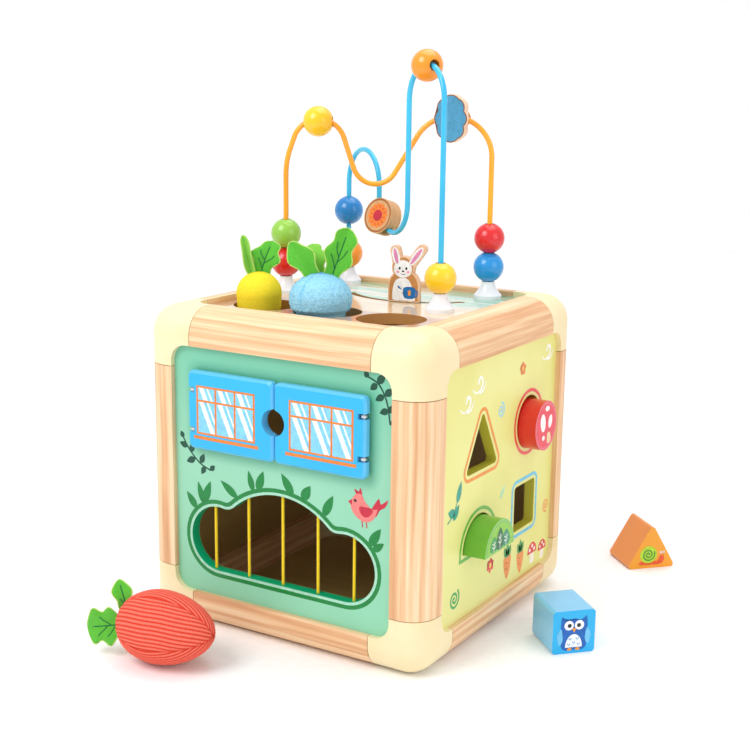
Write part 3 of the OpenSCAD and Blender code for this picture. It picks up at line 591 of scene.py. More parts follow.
def stroke(sheet, path, width, colour, layer=0, thin_end=1.0, thin_start=1.0):
    """A brush stroke with round ends along a path: a row of quads and two half discs."""
    n, left, right = len(path), [], []
    for i in range(n):
        a, b = Vector(path[max(i - 1, 0)]), Vector(path[min(i + 1, n - 1)])
        d = (b - a).normalized()
        side, t = Vector((-d.y, d.x)), i / (n - 1)
        half = width / 2 * (thin_start + (1 - thin_start) * 2 * t if t < 0.5
                            else 1 + (thin_end - 1) * (2 * t - 1))
        left.append(Vector(path[i]) + side * half)
        right.append(Vector(path[i]) - side * half)
    for i in range(n - 1):
        fill(sheet, [left[i], left[i + 1], right[i + 1], right[i]], colour, layer)
    for here, edge, sweep in ((path[-1], left[-1], -1), (path[0], left[0], 1)):
        arm = edge - Vector(here)
        fill(sheet, [Vector(here) + Matrix.Rotation(sweep * math.pi * k / 6, 2) @ arm
                     for k in range(7)], colour, layer)


def leaf(sheet, tip, base, width, colour, layer=0):
    """A pointed oval from base to tip."""
    base, tip = Vector(base), Vector(tip)
    ahead = tip - base
    side = Vector((-ahead.y, ahead.x)).normalized()
    edge = [(t, width / 2 * math.sin(math.pi * t ** 0.8) ** 0.9)
            for t in [k / 10 for k in range(1, 10)]]
    fill(sheet, [tuple(base)] + [tuple(base + ahead * t + side * w) for t, w in edge]
         + [tuple(tip)] + [tuple(base + ahead * t - side * w) for t, w in reversed(edge)],
         colour, layer)


def petals(sheet, centre, radius, count, colour, dip=0.62, lean=0.0, layer=0):
    made = []
    for i in range(count * 8):
        a = 2 * math.pi * i / (count * 8)
        r = radius * (dip + (1 - dip) * abs(math.cos(count * a / 2)) ** 0.7)
        made.append((centre[0] + r * math.cos(a + lean), centre[1] + r * math.sin(a + lean)))
    fill(sheet, made, colour, layer)


def spiral(sheet, centre, radius, turns, width, colour, start=0.0, layer=0):
    path = []
    for i in range(int(turns * 16) + 1):
        t = i / (turns * 16)
        a = math.radians(start) + t * turns * 2 * math.pi
        path.append((centre[0] + radius * (0.12 + 0.88 * t) * math.cos(a),
                     centre[1] + radius * (0.12 + 0.88 * t) * math.sin(a)))
    stroke(sheet, path, width, colour, layer)


def show(name, mesh, finishes, smooth_faces=True):
    """Turns a mesh under construction into an object of the scene."""
    data = bpy.data.meshes.new(name)
    mesh.to_mesh(data)
    mesh.free()
    for finish in finishes:
        data.materials.append(finish)
    for face in data.polygons:
        face.use_smooth = smooth_faces
    shown = bpy.data.objects.new(name, data)
    bpy.context.scene.collection.objects.link(shown)
    return shown


def finish_print(sheet, body):
    bmesh.ops.triangulate(sheet["mesh"], faces=sheet["mesh"].faces[:])
    shown = show(sheet["name"], sheet["mesh"], [ink(c) for c in sheet["inks"]], False)
    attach(shown, body)
    print(sheet["name"], len(shown.data.polygons), "faces,", len(sheet["inks"]), "inks")

# %% [markdown]
# Printed outlines have to follow the holes exactly, so they start from the model's
# own edges. The flat face of a node is welded, and the edges on its rim are walked
# into closed loops.

# %% Outlines of a node's flat face
def face_outlines(node, axis, value):
    mesh = bmesh.new()
    mesh.from_mesh(frame["nodes"][node].data)
    mesh.transform(frame["nodes"][node].matrix_world)
    bmesh.ops.remove_doubles(mesh, verts=mesh.verts, dist=0.00001)
    flat = {f for f in mesh.faces if all(abs(v.co[axis] / MM - value) < 0.05 for v in f.verts)}
    follow = {}
    for edge in mesh.edges:
        if sum(f in flat for f in edge.link_faces) == 1:
            for one, other in (edge.verts[:], edge.verts[:][::-1]):
                follow.setdefault(one, []).append(other)
    kept, loops = [a for a in range(3) if a != axis], []
    while follow:
        here = next(iter(follow))
        loop = []
        while here in follow:
            loop.append(tuple(here.co[a] / MM for a in kept))
            ahead = [v for v in follow.pop(here) if v in follow]
            if not ahead:
                break
            here = ahead[0]
        loops.append(loop)
    mesh.free()
    return loops


def centre_of(loop):
    return [sum((min(v), max(v))) / 2 for v in zip(*loop)]


holes = sorted(face_outlines("front_panel", 1, front_face), key=lambda l: centre_of(l)[1])
print([(len(l), [round(c) for c in centre_of(l)]) for l in holes])

# %% [markdown]
# Round the cloud opening run a pale line and a stronger green band. Leaves grow on
# the band, and a coral bird sits on its right shoulder. Two dark sprigs look out
# from behind the shutters.

# %% Front panel print
BAND_GREEN, DARK_LEAF, CRIMSON = "#008237", "#004c36", "#c8203c"
front_print = start_print("front_panel_print",
                          lambda a, b, lift: (a, front_face - lift, b))
cloud_edge = [l for l in holes if max(p[0] for p in l) - min(p[0] for p in l) > 150
              and 100 < max(p[1] for p in l) < 200][0]
band(front_print, offset_loop(cloud_edge, 3.0), offset_loop(cloud_edge, 0.2), "#a5dcc0")
band(front_print, offset_loop(cloud_edge, 7.5), offset_loop(cloud_edge, 3.0), BAND_GREEN)
band_middle = offset_loop(cloud_edge, 5.0)
band_leaves = (((-122.6, 149.4), (-108, 134), 9), ((-90, 166), (-99.4, 139.2), 10),
               ((-107, 163), (-101, 141), 8), ((-76.6, 169.3), (-58, 155.2), 9),
               ((-20.6, 188.4), (-30.8, 167.5), 10), ((-40, 186), (-34, 168), 8),
               ((2.1, 190), (18, 168.5), 10), ((38.1, 182.5), (25.9, 164.8), 11),
               ((65.9, 177), (56.5, 154.7), 10), ((122.2, 152.7), (108.6, 136), 10),
               ((126, 138), (112, 128), 8))
for number, (tip, base, width) in enumerate(band_leaves):
    root = min(band_middle, key=lambda p: math.dist(p, base))
    leaf(front_print, tip, root, width, BAND_GREEN, 1 + 0.3 * (number % 2))
fill(front_print, smooth([(87, 174.5), (92, 183), (99, 184.5), (104, 177), (112, 171),
                          (118, 171.5), (113, 160.5), (104, 156.3), (94, 160), (88, 167)]),
     "#f07f7a", 2)
fill(front_print, [(88.6, 178), (83.7, 174.6), (88, 171.5)], CRIMSON, 3)
fill(front_print, smooth([(110, 168), (119, 183), (122, 178), (129.8, 183.3), (127, 176),
                          (120.8, 171.5), (116, 164)]), CRIMSON, 1)
fill(front_print, smooth([(97, 171), (108, 172), (113, 169), (107, 162), (100, 163)]),
     CRIMSON, 3)
fill(front_print, smooth([(94, 183), (91, 189), (96, 187), (98, 191), (100, 184)]),
     CRIMSON, 1)
fill(front_print, oval((92.2, 177), 1.7), "#2b1a1a", 3)
for foot in (100, 105):
    stroke(front_print, [(foot, 158), (foot + 1, 151)], 1.3, CRIMSON, 1)
stroke(front_print, smooth([(105.5, 304.5), (118, 298), (127, 282), (131, 260.6)], False),
       1.8, DARK_LEAF)
for tip, base, width in (((108, 292), (116, 298.5), 7), ((125, 309), (116, 299), 8),
                         ((134, 296), (125, 288), 7.5), ((114, 282), (124, 288), 7),
                         ((137, 280), (129, 272), 7), ((119, 270), (129, 274), 7),
                         ((138, 264), (131, 260), 6), ((101, 309), (106, 304), 6)):
    leaf(front_print, tip, base, width, DARK_LEAF, 1)
stroke(front_print, smooth([(-126.7, 210.4), (-118, 197), (-104, 184), (-90, 178)], False),
       1.8, DARK_LEAF)
for tip, base, width in (((-131, 203), (-120, 200), 7), ((-112, 206), (-116, 194), 7),
                         ((-122, 183), (-110, 188), 7.5), ((-98, 195), (-103, 184), 7),
                         ((-102, 172), (-97, 181), 6.5), ((-84, 184), (-90, 178), 6),
                         ((-129, 216), (-126, 209), 6)):
    leaf(front_print, tip, base, width, DARK_LEAF, 1)
finish_print(front_print, "cube")

# %% [markdown]
# Each shutter carries a window: orange frame and bars, sky-blue panes, and in every
# pane a broad and a narrow white glint. Glints are slanted strips cut to the pane.

# %% Shutter windows
shutter_face = shutter_low.y / MM
WINDOW = "#e8822c"


def clip(outline, low, high):
    """The part of a convex outline inside an upright rectangle."""
    for axis, limit, sign in ((0, low[0], 1), (0, high[0], -1), (1, low[1], 1),
                              (1, high[1], -1)):
        kept = []
        for i, here in enumerate(outline):
            there = outline[(i + 1) % len(outline)]
            a, b = sign * (here[axis] - limit), sign * (there[axis] - limit)
            if a >= 0:
                kept.append(here)
            if a * b < 0:
                t = a / (a - b)
                kept.append(tuple(p + (q - p) * t for p, q in zip(here, there)))
        outline = kept
    return outline


def window(body, left, right, bars, sill):
    low, high, cross = 220.0, 272.2, 256.0
    sheet = start_print(body + "_window", lambda a, b, lift: (a, shutter_face - lift, b))
    fill(sheet, oblong((left, low), (right, high)), WINDOW)
    fill(sheet, oblong((sill[0], 214.4), (sill[1], 217.9)), WINDOW)
    ups = [left + 1.2, *bars, right - 1.2]
    for one, two in zip(ups, ups[1:]):
        for bottom, top in ((low + 2.2, cross - 1.1), (cross + 1.1, high - 2.2)):
            corner, far = (one + 1.2, bottom), (two - 1.2, top)
            fill(sheet, oblong(corner, far), "#84d0f2", 1)
            for start, wide in ((0.06, 6.0), (0.52, 2.2)):
                x = corner[0] + (far[0] - corner[0]) * start
                strip = [(x, top), (x + wide, top), (x + wide + 0.45 * (top - bottom), bottom),
                         (x + 0.45 * (top - bottom), bottom)]
                cut = clip(strip, corner, far)
                if len(cut) > 2:
                    fill(sheet, cut, "#f2fbff", 2)
    finish_print(sheet, body)


window("shutter_left", -98.0, -22.5, (-72.8, -48.0), (-102.0, -18.5))
window("shutter_right", 19.8, 96.5, (45.2, 71.0), (15.3, 100.0))

# %% [markdown]
# On the shape side each hole has a coloured outline at a small distance, in its own
# block's colour. Between them are swirls, flowers, carrots, toadstools and leaves.

# %% Right panel print
CHALK, REED, CENTRE_YELLOW = "#fffdf2", "#2f9f86", "#fbd34a"
right_print = start_print("right_panel_print", lambda a, b, lift: (right_face + lift, a, b))
shapes = [l for l in face_outlines("right_panel", 0, right_face) if len(l) > 2
          and max(p[0] for p in l) - min(p[0] for p in l) < 150]
for loop in shapes:
    middle = centre_of(loop)
    back_side, high = middle[0] > 0, middle[1] > 160
    colour = {(False, True): "#f0922e", (True, True): "#ee4e48", (True, False): "#62c3e3",
              (False, False): "#6bbb45"}[back_side, high]
    band(right_print, offset_loop(loop, 7.4), offset_loop(loop, 3.6), colour)
    print(colour, len(loop), "points round", [round(v) for v in middle])
for hook, lean in (((-81.8, 267.9), 0), ((-55.5, 283.6), 1), ((111.7, 290.2), 0)):
    x, z = hook
    stroke(right_print, smooth([(x - 15, z - 3), (x - 6, z - 8), (x + 5, z - 4), (x + 7, z + 4),
                                (x + 1, z + 7), (x - 2, z + 2)], False), 3.4, CHALK,
           thin_start=0.3)
    stroke(right_print, smooth([(x + 1, z - 9), (x + 9, z - 7), (x + 15, z + 1)], False), 2.8,
           CHALK, 1, thin_end=0.4)
petals(right_print, (48.4, 281.9), 7.6, 5, "#f0803c", lean=0.3)
fill(right_print, oval((48.4, 281.9), 2.2), CENTRE_YELLOW, 1)
spiral(right_print, (-2.3, 245.6), 8.5, 1.7, 2.4, "#9edbe8", 200)
leaf(right_print, (13.5, 160), (1, 146), 7, "#b8e2b0")
for tip, base in (((-89.7, 190), (-98, 168)), ((-117, 163), (-102, 158)),
                  ((-93, 166), (-106, 152))):
    leaf(right_print, tip, base, 10, REED)
stroke(right_print, smooth([(-96, 172), (-106, 158), (-117, 152)], False), 1.8, REED, 1)
spiral(right_print, (123.7, 107), 8.0, 1.7, 2.5, "#f2a45c", 30)
spiral(right_print, (-99, 65.3), 11.0, 1.9, 2.8, "#4fae62", 90)
petals(right_print, (-17.3, 76.8), 8.6, 6, "#e84a3c", dip=0.5, lean=0.4)
fill(right_print, oval((-17.3, 76.8), 2.6), CENTRE_YELLOW, 1)
for x, z, size in ((25.0, 64.0, 1.0), (58.5, 59.5, 0.95)):
    body = smooth([(x - 9 * size, z + 9 * size), (x, z + 12 * size), (x + 9 * size, z + 9 * size),
                   (x + 7 * size, z - 6 * size), (x, z - 16 * size), (x - 7 * size, z - 6 * size)])
    fill(right_print, body, "#f5923a")
    for k in (-1, 0, 1):
        leaf(right_print, (x + 8 * k * size, z + (26 - 4 * abs(k)) * size),
             (x + 2 * k * size, z + 9 * size), 8.5 * size, "#3f9d4c", 1)
    for dz in (3, -4):
        stroke(right_print, [(x - 4 * size, z + dz), (x + 1 * size, z + dz - 1)], 1.1,
               "#d86a1c", 2)
for x, z, size in ((90.3, 59.2, 1.0), (117.9, 55.8, 0.9)):
    fill(right_print, smooth([(x - 4 * size, z), (x + 4 * size, z), (x + 5 * size, z - 12 * size),
                              (x - 5 * size, z - 12 * size)]), "#fbf1dc")
    fill(right_print, oval((x, z - 1), 12 * size, 13 * size, 0, 0, 180, 20), "#e2383a", 1)
    for dx, dz in ((-6, 3.5), (0.5, 7.5), (6, 3)):
        fill(right_print, oval((x + dx * size, z + dz * size), 2.2 * size), "#fffaf0", 2)
finish_print(right_print, "cube")

# %% [markdown]
# Pictures on the small pieces use the same tools. Each needs only a place function:
# a middle, a sideways and an upward direction, and how far out the face is.

# %% Places on small pieces
def on_face(middle, sideways, upwards, out):
    middle, sideways, upwards = Vector(middle), Vector(sideways), Vector(upwards)
    outwards = sideways.cross(upwards)
    return lambda a, b, lift: middle + sideways * a + upwards * b + outwards * (out + lift)


def turned(degrees):
    """Sideways direction of a piece turned about the vertical."""
    return Vector((math.cos(math.radians(degrees)), math.sin(math.radians(degrees)), 0))


UPRIGHT = Vector((0, 0, 1))
BLOCK_HALF = 28.0
RABBIT_FOOT = (28.92, 31.38, 344.6)
RABBIT_HALF = 4.5

# %% [markdown]
# The red block's end shows a toadstool cap from above: white ovals and a stem. The
# green block's end has three rounded trees with white twigs.

# %% Ends of the two pushed blocks
CAP_WHITE, TWIG_WHITE = "#fff4f0", "#f4fbe8"
cylinder_low, cylinder_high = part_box("block_cylinder")
cylinder_mid = (cylinder_low + cylinder_high) / 2 / MM
red_end = start_print("red_block_picture", on_face(
    (cylinder_high.x / MM, cylinder_mid.y, cylinder_mid.z), (0, 1, 0), UPRIGHT, 0.0))
fill(red_end, oval((0, 0), 24.0, steps=48), "#ea3a4c")
fill(red_end, oval((-8.5, 4.5), 6.5, 10.5, 12), CAP_WHITE, 1)
fill(red_end, oval((10.5, 3.0), 5.0, 7.5, -14), CAP_WHITE, 1)
fill(red_end, oval((2.0, 19.0), 5.6, 3.0, -6), CAP_WHITE, 1)
fill(red_end, smooth([(4, -9), (11, -10), (13, -18), (8, -21.5), (3, -19)]), "#f2cf9c", 1)
fill(red_end, oval((-6.5, -13.0), 3.6, 2.8), CAP_WHITE, 1)
finish_print(red_end, "block_cylinder")

half_low, half_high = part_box("block_half_round")
half_mid = (half_low + half_high) / 2 / MM
green_end = start_print("green_block_picture", on_face(
    (half_high.x / MM, half_mid.y, half_low.z / MM), (0, 1, 0), UPRIGHT, 0.0))
fill(green_end, oval((0, 1.8), 29.5, 27.5, 0, 0, 180, 40), "#8ccb3e")
for x, wide, tall, colour in ((-14.5, 8.5, 19.0, "#2f9f4a"), (13.5, 9.0, 20.0, "#1f8f6a"),
                              (-0.5, 8.5, 25.5, "#0f6d3e")):
    layer = 1 if x < -1 or x > 1 else 2
    fill(green_end, smooth([(x - wide * 0.75, 3), (x - wide, tall * 0.5), (x, tall),
                            (x + wide, tall * 0.5), (x + wide * 0.75, 3)]), colour, layer)
    stroke(green_end, [(x, 3), (x, tall * 0.72)], 1.1, TWIG_WHITE, 3)
    for side in (-1, 1):
        for up_at in (0.3, 0.5):
            stroke(green_end, [(x, tall * up_at), (x + side * wide * 0.45,
                                                   tall * (up_at + 0.14))], 1.0, TWIG_WHITE, 4)
finish_print(green_end, "block_half_round")

# %% [markdown]
# The cube block carries a small blue owl and the prism a snail. Both pictures sit on
# the face turned to the front right.

# %% Owl and snail
BEAK_ORANGE, SNAIL_ORANGE = "#f59a1c", "#ec5a24"
cube_low, cube_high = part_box("block_cube")
cube_mid = (cube_low + cube_high) / 2 / MM
front_right = turned(46)
owl = start_print("owl_picture", on_face(cube_mid, front_right, UPRIGHT,
                                         BLOCK_HALF))
fill(owl, smooth([(-13, -18), (-15, 0), (-14, 17), (-9, 13), (0, 15), (9, 13), (14, 17),
                  (15, 0), (13, -18), (0, -20)]), "#0a62b8")
for side in (-1, 1):
    fill(owl, smooth([(side * 14.5, 4), (side * 19, -4), (side * 16, -14),
                      (side * 12.5, -8)]), "#6fc4ee", 1)
    fill(owl, oval((side * 5.8, 7.5), 5.2), "#ffffff", 2)
    fill(owl, oval((side * 5.2, 7.2), 2.3), "#101828", 3)
fill(owl, oval((0, -17), 9.5, 14.5, 0, 0, 180, 24), "#f4fbff", 2)
fill(owl, [(-2.4, 4.2), (2.4, 4.2), (0, -0.8)], BEAK_ORANGE, 4)
for x, z in ((-4, -8), (4, -8), (0, -12), (-5.5, -14), (5.5, -14)):
    stroke(owl, [(x - 1.5, z + 1.2), (x, z - 0.8), (x + 1.5, z + 1.2)], 0.8, "#2a86cf", 3)
for side in (-1, 1):
    fill(owl, oval((side * 4.5, -19), 2.6, 1.5), BEAK_ORANGE, 4)
finish_print(owl, "block_cube")

prism_low, prism_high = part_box("block_prism")
prism_mid = (prism_low + prism_high) / 2 / MM
snail = start_print("snail_picture", on_face(
    Vector((prism_mid.x, prism_mid.y, prism_low.z / MM + 1)) - front_right * 1.5, front_right,
    UPRIGHT, BLOCK_HALF))
fill(snail, smooth([(-15, 4), (-10, 9), (2, 8.5), (10, 8), (13, 14), (18, 13.5), (18.5, 8),
                    (14, 3.6), (0, 3)]), SNAIL_ORANGE)
fill(snail, oval((-2.5, 16.5), 11.5, 11.0), "#b9d92e", 1)
spiral(snail, (-2.5, 16.5), 8.6, 2.1, 2.0, "#4c9c2e", 0, 2)
for x in (13.4, 17.4):
    stroke(snail, [(x, 12), (x + 0.6, 18)], 0.9, SNAIL_ORANGE, 1)
    fill(snail, oval((x + 0.6, 18.6), 1.5), "#ffffff", 3)
    fill(snail, oval((x + 0.7, 18.6), 0.7), "#1a1a1a", 4)
finish_print(snail, "block_prism")

# %% [markdown]
# The rabbit plate shows a white rabbit with pink ears and a blue watering can, on a
# burnt-brown ground that follows the plate's outline. Its back is printed plain
# brown. The outline of the picture is the union of the plate's own round parts.

# %% Rabbit picture
BURNT, FUR, EYE_BLACK, CAN_BLUE = "#c98a4c", "#f9fafc", "#15161a", "#0a6fb8"
rabbit_side = turned(13)
for name, flip in (("rabbit_picture", 1), ("rabbit_back_print", -1)):
    picture = start_print(name, on_face(RABBIT_FOOT, rabbit_side * flip, UPRIGHT, RABBIT_HALF))
    head, tummy = oval((-1 * flip, 38), 11.6, 11.6, steps=40), oval((0, 18), 16.4, steps=40)
    ears = [(Vector((-7 * flip, 40)), 12 * flip, 21.5), (Vector((6 * flip, 40)), -36 * flip,
                                                         27.0)]
    fill(picture, tummy, BURNT)
    fill(picture, oblong((-16.4, 1.4), (16.4, 17.9)), BURNT, 0.4)
    fill(picture, head, BURNT, 0.8)
    if flip < 0:
        finish_print(picture, "rabbit")
        continue
    fill(picture, smooth([(-11, 3), (-12.5, 14), (-8, 25), (4, 26), (10, 16), (9, 3)]),
         "#f7f8fb", 1.5)
    fill(picture, oval((-1, 36.8), 10.6, 9.8), FUR, 2)
    for x in (-11, 5.5):
        fill(picture, oval((x + 3, 3.6), 5.2, 2.6), FUR, 2.5)
    fill(picture, oval((-4.8, 37.5), 1.25, 1.6), EYE_BLACK, 3)
    fill(picture, oval((3.0, 37.5), 1.25, 1.6), EYE_BLACK, 3)
    fill(picture, oval((-0.9, 34.3), 1.5, 1.0), EYE_BLACK, 3)
    for side in (-1, 1):
        fill(picture, oval((-0.9 + side * 6.0, 33.5), 1.9, 1.4), "#f3a8c2", 3)
    stroke(picture, smooth([(-3.4, 31.6), (-0.9, 30.6), (1.6, 31.6)], False), 0.6,
           EYE_BLACK, 3)
    fill(picture, smooth([(1, 5), (0.5, 16), (13, 16), (12.6, 5)]), CAN_BLUE, 4)
    stroke(picture, [(0.8, 10), (-6, 17)], 2.0, CAN_BLUE, 4)
    stroke(picture, smooth([(12.6, 14), (16, 12), (15, 7), (12.4, 6.4)], False), 1.5,
           CAN_BLUE, 5)
    fill(picture, oblong((5.4, 7.6), (8.4, 13.4)), "#f59a2c", 6)
    stroke(picture, [(-8.0, 14), (-2, 12)], 3.4, FUR, 6)
    for root, lean, length in ears:
        to = Matrix.Rotation(math.radians(lean), 2)
        for wide, colour, layer, far in ((4.4, FUR, 1.2, 0.97), (2.1, "#e58cba", 2.4,
                                                                      0.86)):
            fill(picture, [tuple(root + to @ Vector(p)) for p in
                           oval((0, length * 0.52), wide, length * 0.48 * far, steps=24)],
                 colour, layer)
    finish_print(picture, "rabbit")

# %% [markdown]
# The two shaped beads carry a print on both faces: a burnt ring with an orange flower
# and a crimson middle on one, and a slate-blue cloud inside a thin edge on the other.
# Their frames come from their joints: outwards from the bend's middle, and its axis.

# %% Bead pictures
def bead_frame(node, joint):
    low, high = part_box(node)
    centre = (low + high) / 2 / MM
    pivot = Vector(joints[joint]["pos_m"]) / MM
    turn_axis = -Vector(joints[joint]["axis"]).normalized()
    outwards = (centre - pivot)
    outwards = (outwards - turn_axis * outwards.dot(turn_axis)).normalized()
    return centre, outwards, turn_axis, outwards.cross(turn_axis)


FLOWER_LEAN, FLOWER_HALF = -26, 9.0
CLOUD_TIP, CLOUD_HALF = -9, 10.5
centre, out, axis, bore = bead_frame("bead_flower", "bead_flower_turn")
lean = Matrix.Rotation(math.radians(FLOWER_LEAN), 3, bore)
disc_axis = lean @ axis
disc_side = lean @ out
for side, name in ((1, "flower_bead_picture"), (-1, "flower_bead_back_picture")):
    face = disc_axis * side
    sheet = start_print(name, on_face(centre, disc_side, face.cross(disc_side), FLOWER_HALF))
    band(sheet, oval((0, 0), 19.6, steps=48), oval((0, 0), 17.6, steps=48), "#a8652e")
    petals(sheet, (0, 0), 14.6, 12, "#f5842a", dip=0.84)
    for k in range(12):
        a = 2 * math.pi * (k + 0.5) / 12
        stroke(sheet, [(8.6 * math.cos(a), 8.6 * math.sin(a)),
                       (11.6 * math.cos(a), 11.6 * math.sin(a))], 1.0, "#d8402c", 1)
    fill(sheet, oval((0, 0), 6.6), CRIMSON, 2)
    finish_print(sheet, "bead_flower")

centre, out, axis, bore = bead_frame("bead_cloud", "bead_cloud_turn")
tip = Matrix.Rotation(math.radians(CLOUD_TIP), 3, out)
for side, name in ((1, "cloud_bead_picture"), (-1, "cloud_bead_back_picture")):
    face = (tip @ axis) * side
    upwards = face.cross(out)
    edge = []
    world = frame["nodes"]["bead_cloud"].matrix_world
    for v in frame["nodes"]["bead_cloud"].data.vertices:
        p = world @ v.co / MM - centre
        if abs(p.dot(face) - CLOUD_HALF) < 0.3:
            edge.append((round(p.dot(out), 2), round(p.dot(upwards), 2)))
    edge = sorted(set(edge), key=lambda p: math.atan2(p[1], p[0]))
    thin = [p for i, p in enumerate(edge) if math.dist(p, edge[i - 1]) > 0.4]
    print(name, len(thin), "edge points")
    sheet = start_print(name, on_face(centre, out, upwards, CLOUD_HALF))
    fill(sheet, offset_loop(thin, -0.5), "#8a4f26")
    fill(sheet, offset_loop(thin, -1.6), "#4f9fc6", 1)
    finish_print(sheet, "bead_cloud")

# %% [markdown]
# Soft goods come next. Each vegetable is stuffed cloth, sewn from gores, so its skin is made as
# rings of points round an axis, and a function says how far the cloth stands out at every point. A
# second value, the groove, tells the fibre material where the cloth is drawn in, and the material
# paints shade there. Loose fibres stand up from the skin all over it.

# %% Sewn skin
def vegetable_of(node):
    """Roots and leaves of one colour move together, as one vegetable."""
    return "vegetable_" + node.split("_")[1]


def sewn_skin(name, rows, columns, place, fibres, length, width, finish, node, seed):
    """place(along 0..1, turn) gives a point in millimetres and the groove there."""
    rows_of, grooves = [], []
    mesh = bmesh.new()
    for i in range(rows + 1):
        ring = []
        for j in range(1 if i in (0, rows) else columns):
            point, groove = place(i / rows, 2 * math.pi * j / columns)
            ring.append(mesh.verts.new(Vector(point) * MM))
            grooves.append(groove)
        rows_of.append(ring)
    for low, high in zip(rows_of, rows_of[1:]):
        for j in range(columns):
            k = (j + 1) % columns
            corners = [low[j % len(low)], low[k % len(low)], high[k % len(high)],
                       high[j % len(high)]]
            mesh.faces.new(list(dict.fromkeys(corners)))
    bmesh.ops.recalc_face_normals(mesh, faces=mesh.faces)
    mesh.normal_update()
    chance = random.Random(seed)
    skin_points = [(v.co.copy(), v.normal.copy(), g) for v, g in zip(mesh.verts, grooves)]
    for _ in range(fibres):
        root, out, groove = chance.choice(skin_points)
        lean = Vector([chance.uniform(-1, 1) for _ in range(3)])
        side = out.cross(lean).normalized() * width * MM / 2
        tip = root + (out + lean * 0.55).normalized() * length * chance.uniform(0.5, 1) * MM
        mesh.faces.new([mesh.verts.new(p) for p in (root - side, root + side, tip)])
        grooves += [groove] * 3
    shown = show(name, mesh, [finish])
    shown.data.attributes.new("groove", "FLOAT", "POINT").data.foreach_set("value", grooves)
    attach(shown, vegetable_of(node))
    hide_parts(node)
    print(name, len(shown.data.vertices), "points")

# %% [markdown]
# Pile scatters light at grazing angles, which sheen gives. Its colour is painted darker in the
# grooves as shade, and a fine noise of about a millimetre is the fibre itself.

# %% Pile and knit
def pile(name, ridge, groove, grain, depth, sheen):
    finish, tree, surface = start_finish(name, Roughness=0.92, IOR=1.45)
    surface.inputs["Sheen Weight"].default_value = sheen
    surface.inputs["Sheen Roughness"].default_value = 0.4
    surface.inputs["Sheen Tint"].default_value = linear(ridge)
    surface.inputs["Specular IOR Level"].default_value = 0.15
    groove_shade = add_node(tree, "Attribute", attribute_name="groove").outputs["Fac"]
    fuzz = speckle(tree, grain, 3.0)
    tone = ramp(tree, fuzz, (0.3, "#e2e2e2"), (0.62, "#ffffff"))
    # Painted shade: the colour turns darker in the grooves, creases and seams.
    colour = ramp(tree, groove_shade, (0.1, ridge), (0.85, groove))
    tint(tree, surface, blended(tree, 1.0, colour, tone, "MULTIPLY"))
    roughen(tree, surface, fuzz, depth, 0.7)
    return finish


# %% [markdown]
# The coral root is ribbed knit in four gores. In each gore the ribs run parallel to
# the gore's own middle line, 4.4 mm apart, so they meet in rows of V shapes at the
# seams. The height of a rib is a rounded wave across it, and the seams are pulled in.

# %% Coral root
coral_low, coral_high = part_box("plush_coral")
coral_mid = (coral_low + coral_high) / 2 / MM
CORAL_LONG, CORAL_WIDE, RIB = 110.0, 76.0, 4.4
CORAL_YAW, GORE_FACING, TAPER = 9.0, 153.0, 0.12
coral_turn = Matrix.Rotation(math.radians(CORAL_YAW), 3, "Z")


def coral_skin(t, turn):
    u = -math.cos(math.pi * t)
    r = CORAL_WIDE / 2 * math.sqrt(max(1 - u * u, 0)) * (1 - TAPER * u)
    gore = (turn - math.radians(GORE_FACING) + math.pi / 4) % (math.pi / 2) - math.pi / 4
    across = r * gore
    rib = 0.5 + 0.5 * math.cos(2 * math.pi * (across + 0.25 * math.sin(u * 9)) / RIB)
    seam = math.exp(-((r * (math.pi / 4 - abs(gore)) / 1.3) ** 2))
    lump = noise.noise(Vector((u * 1.6, math.cos(turn) * 1.3, math.sin(turn) * 1.3)))
    out = 0.9 * rib ** 0.6 - 1.6 - 0.9 * seam + 0.7 * lump
    point = Vector((CORAL_LONG / 2 * u * 0.99, math.cos(turn) * (r + out),
                    math.sin(turn) * (r + out)))
    point = coral_turn @ point + coral_mid
    point.z = max(point.z, coral_low.z / MM + 0.05 * (1 - rib))
    # The second value marks rib valleys and seams, for painted shade.
    return point, min(1.0, (1 - rib) ** 1.6 + 0.5 * seam)


sewn_skin("knitted_coral_root", 190, 420, coral_skin, 14000, 0.9, 0.16,
          pile("rib_knit_coral", "#f87c68", "#e04430", 900.0, 0.0003, 0.35),
          "plush_coral", 3)

# %% [markdown]
# The yellow root is smooth velour in four gores, with faint seams; the blue one is
# terry towelling, taller in its loops and gathered in soft vertical creases under
# the leaves. Both follow the model's own profile, read from its points.

# %% Yellow and blue roots
def profile_of(node):
    """(centre, [(radius, height)]) of an upright round CAD node, in millimetres."""
    low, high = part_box(node)
    centre = (low + high) / 2 / MM
    world = frame["nodes"][node].matrix_world
    rim = {}
    for v in frame["nodes"][node].data.vertices:
        p = world @ v.co / MM
        rim[round(p.z, 1)] = max(rim.get(round(p.z, 1), 0.0),
                                 math.hypot(p.x - centre.x, p.y - centre.y))
    return centre, [(rim[z], z) for z in sorted(rim)]


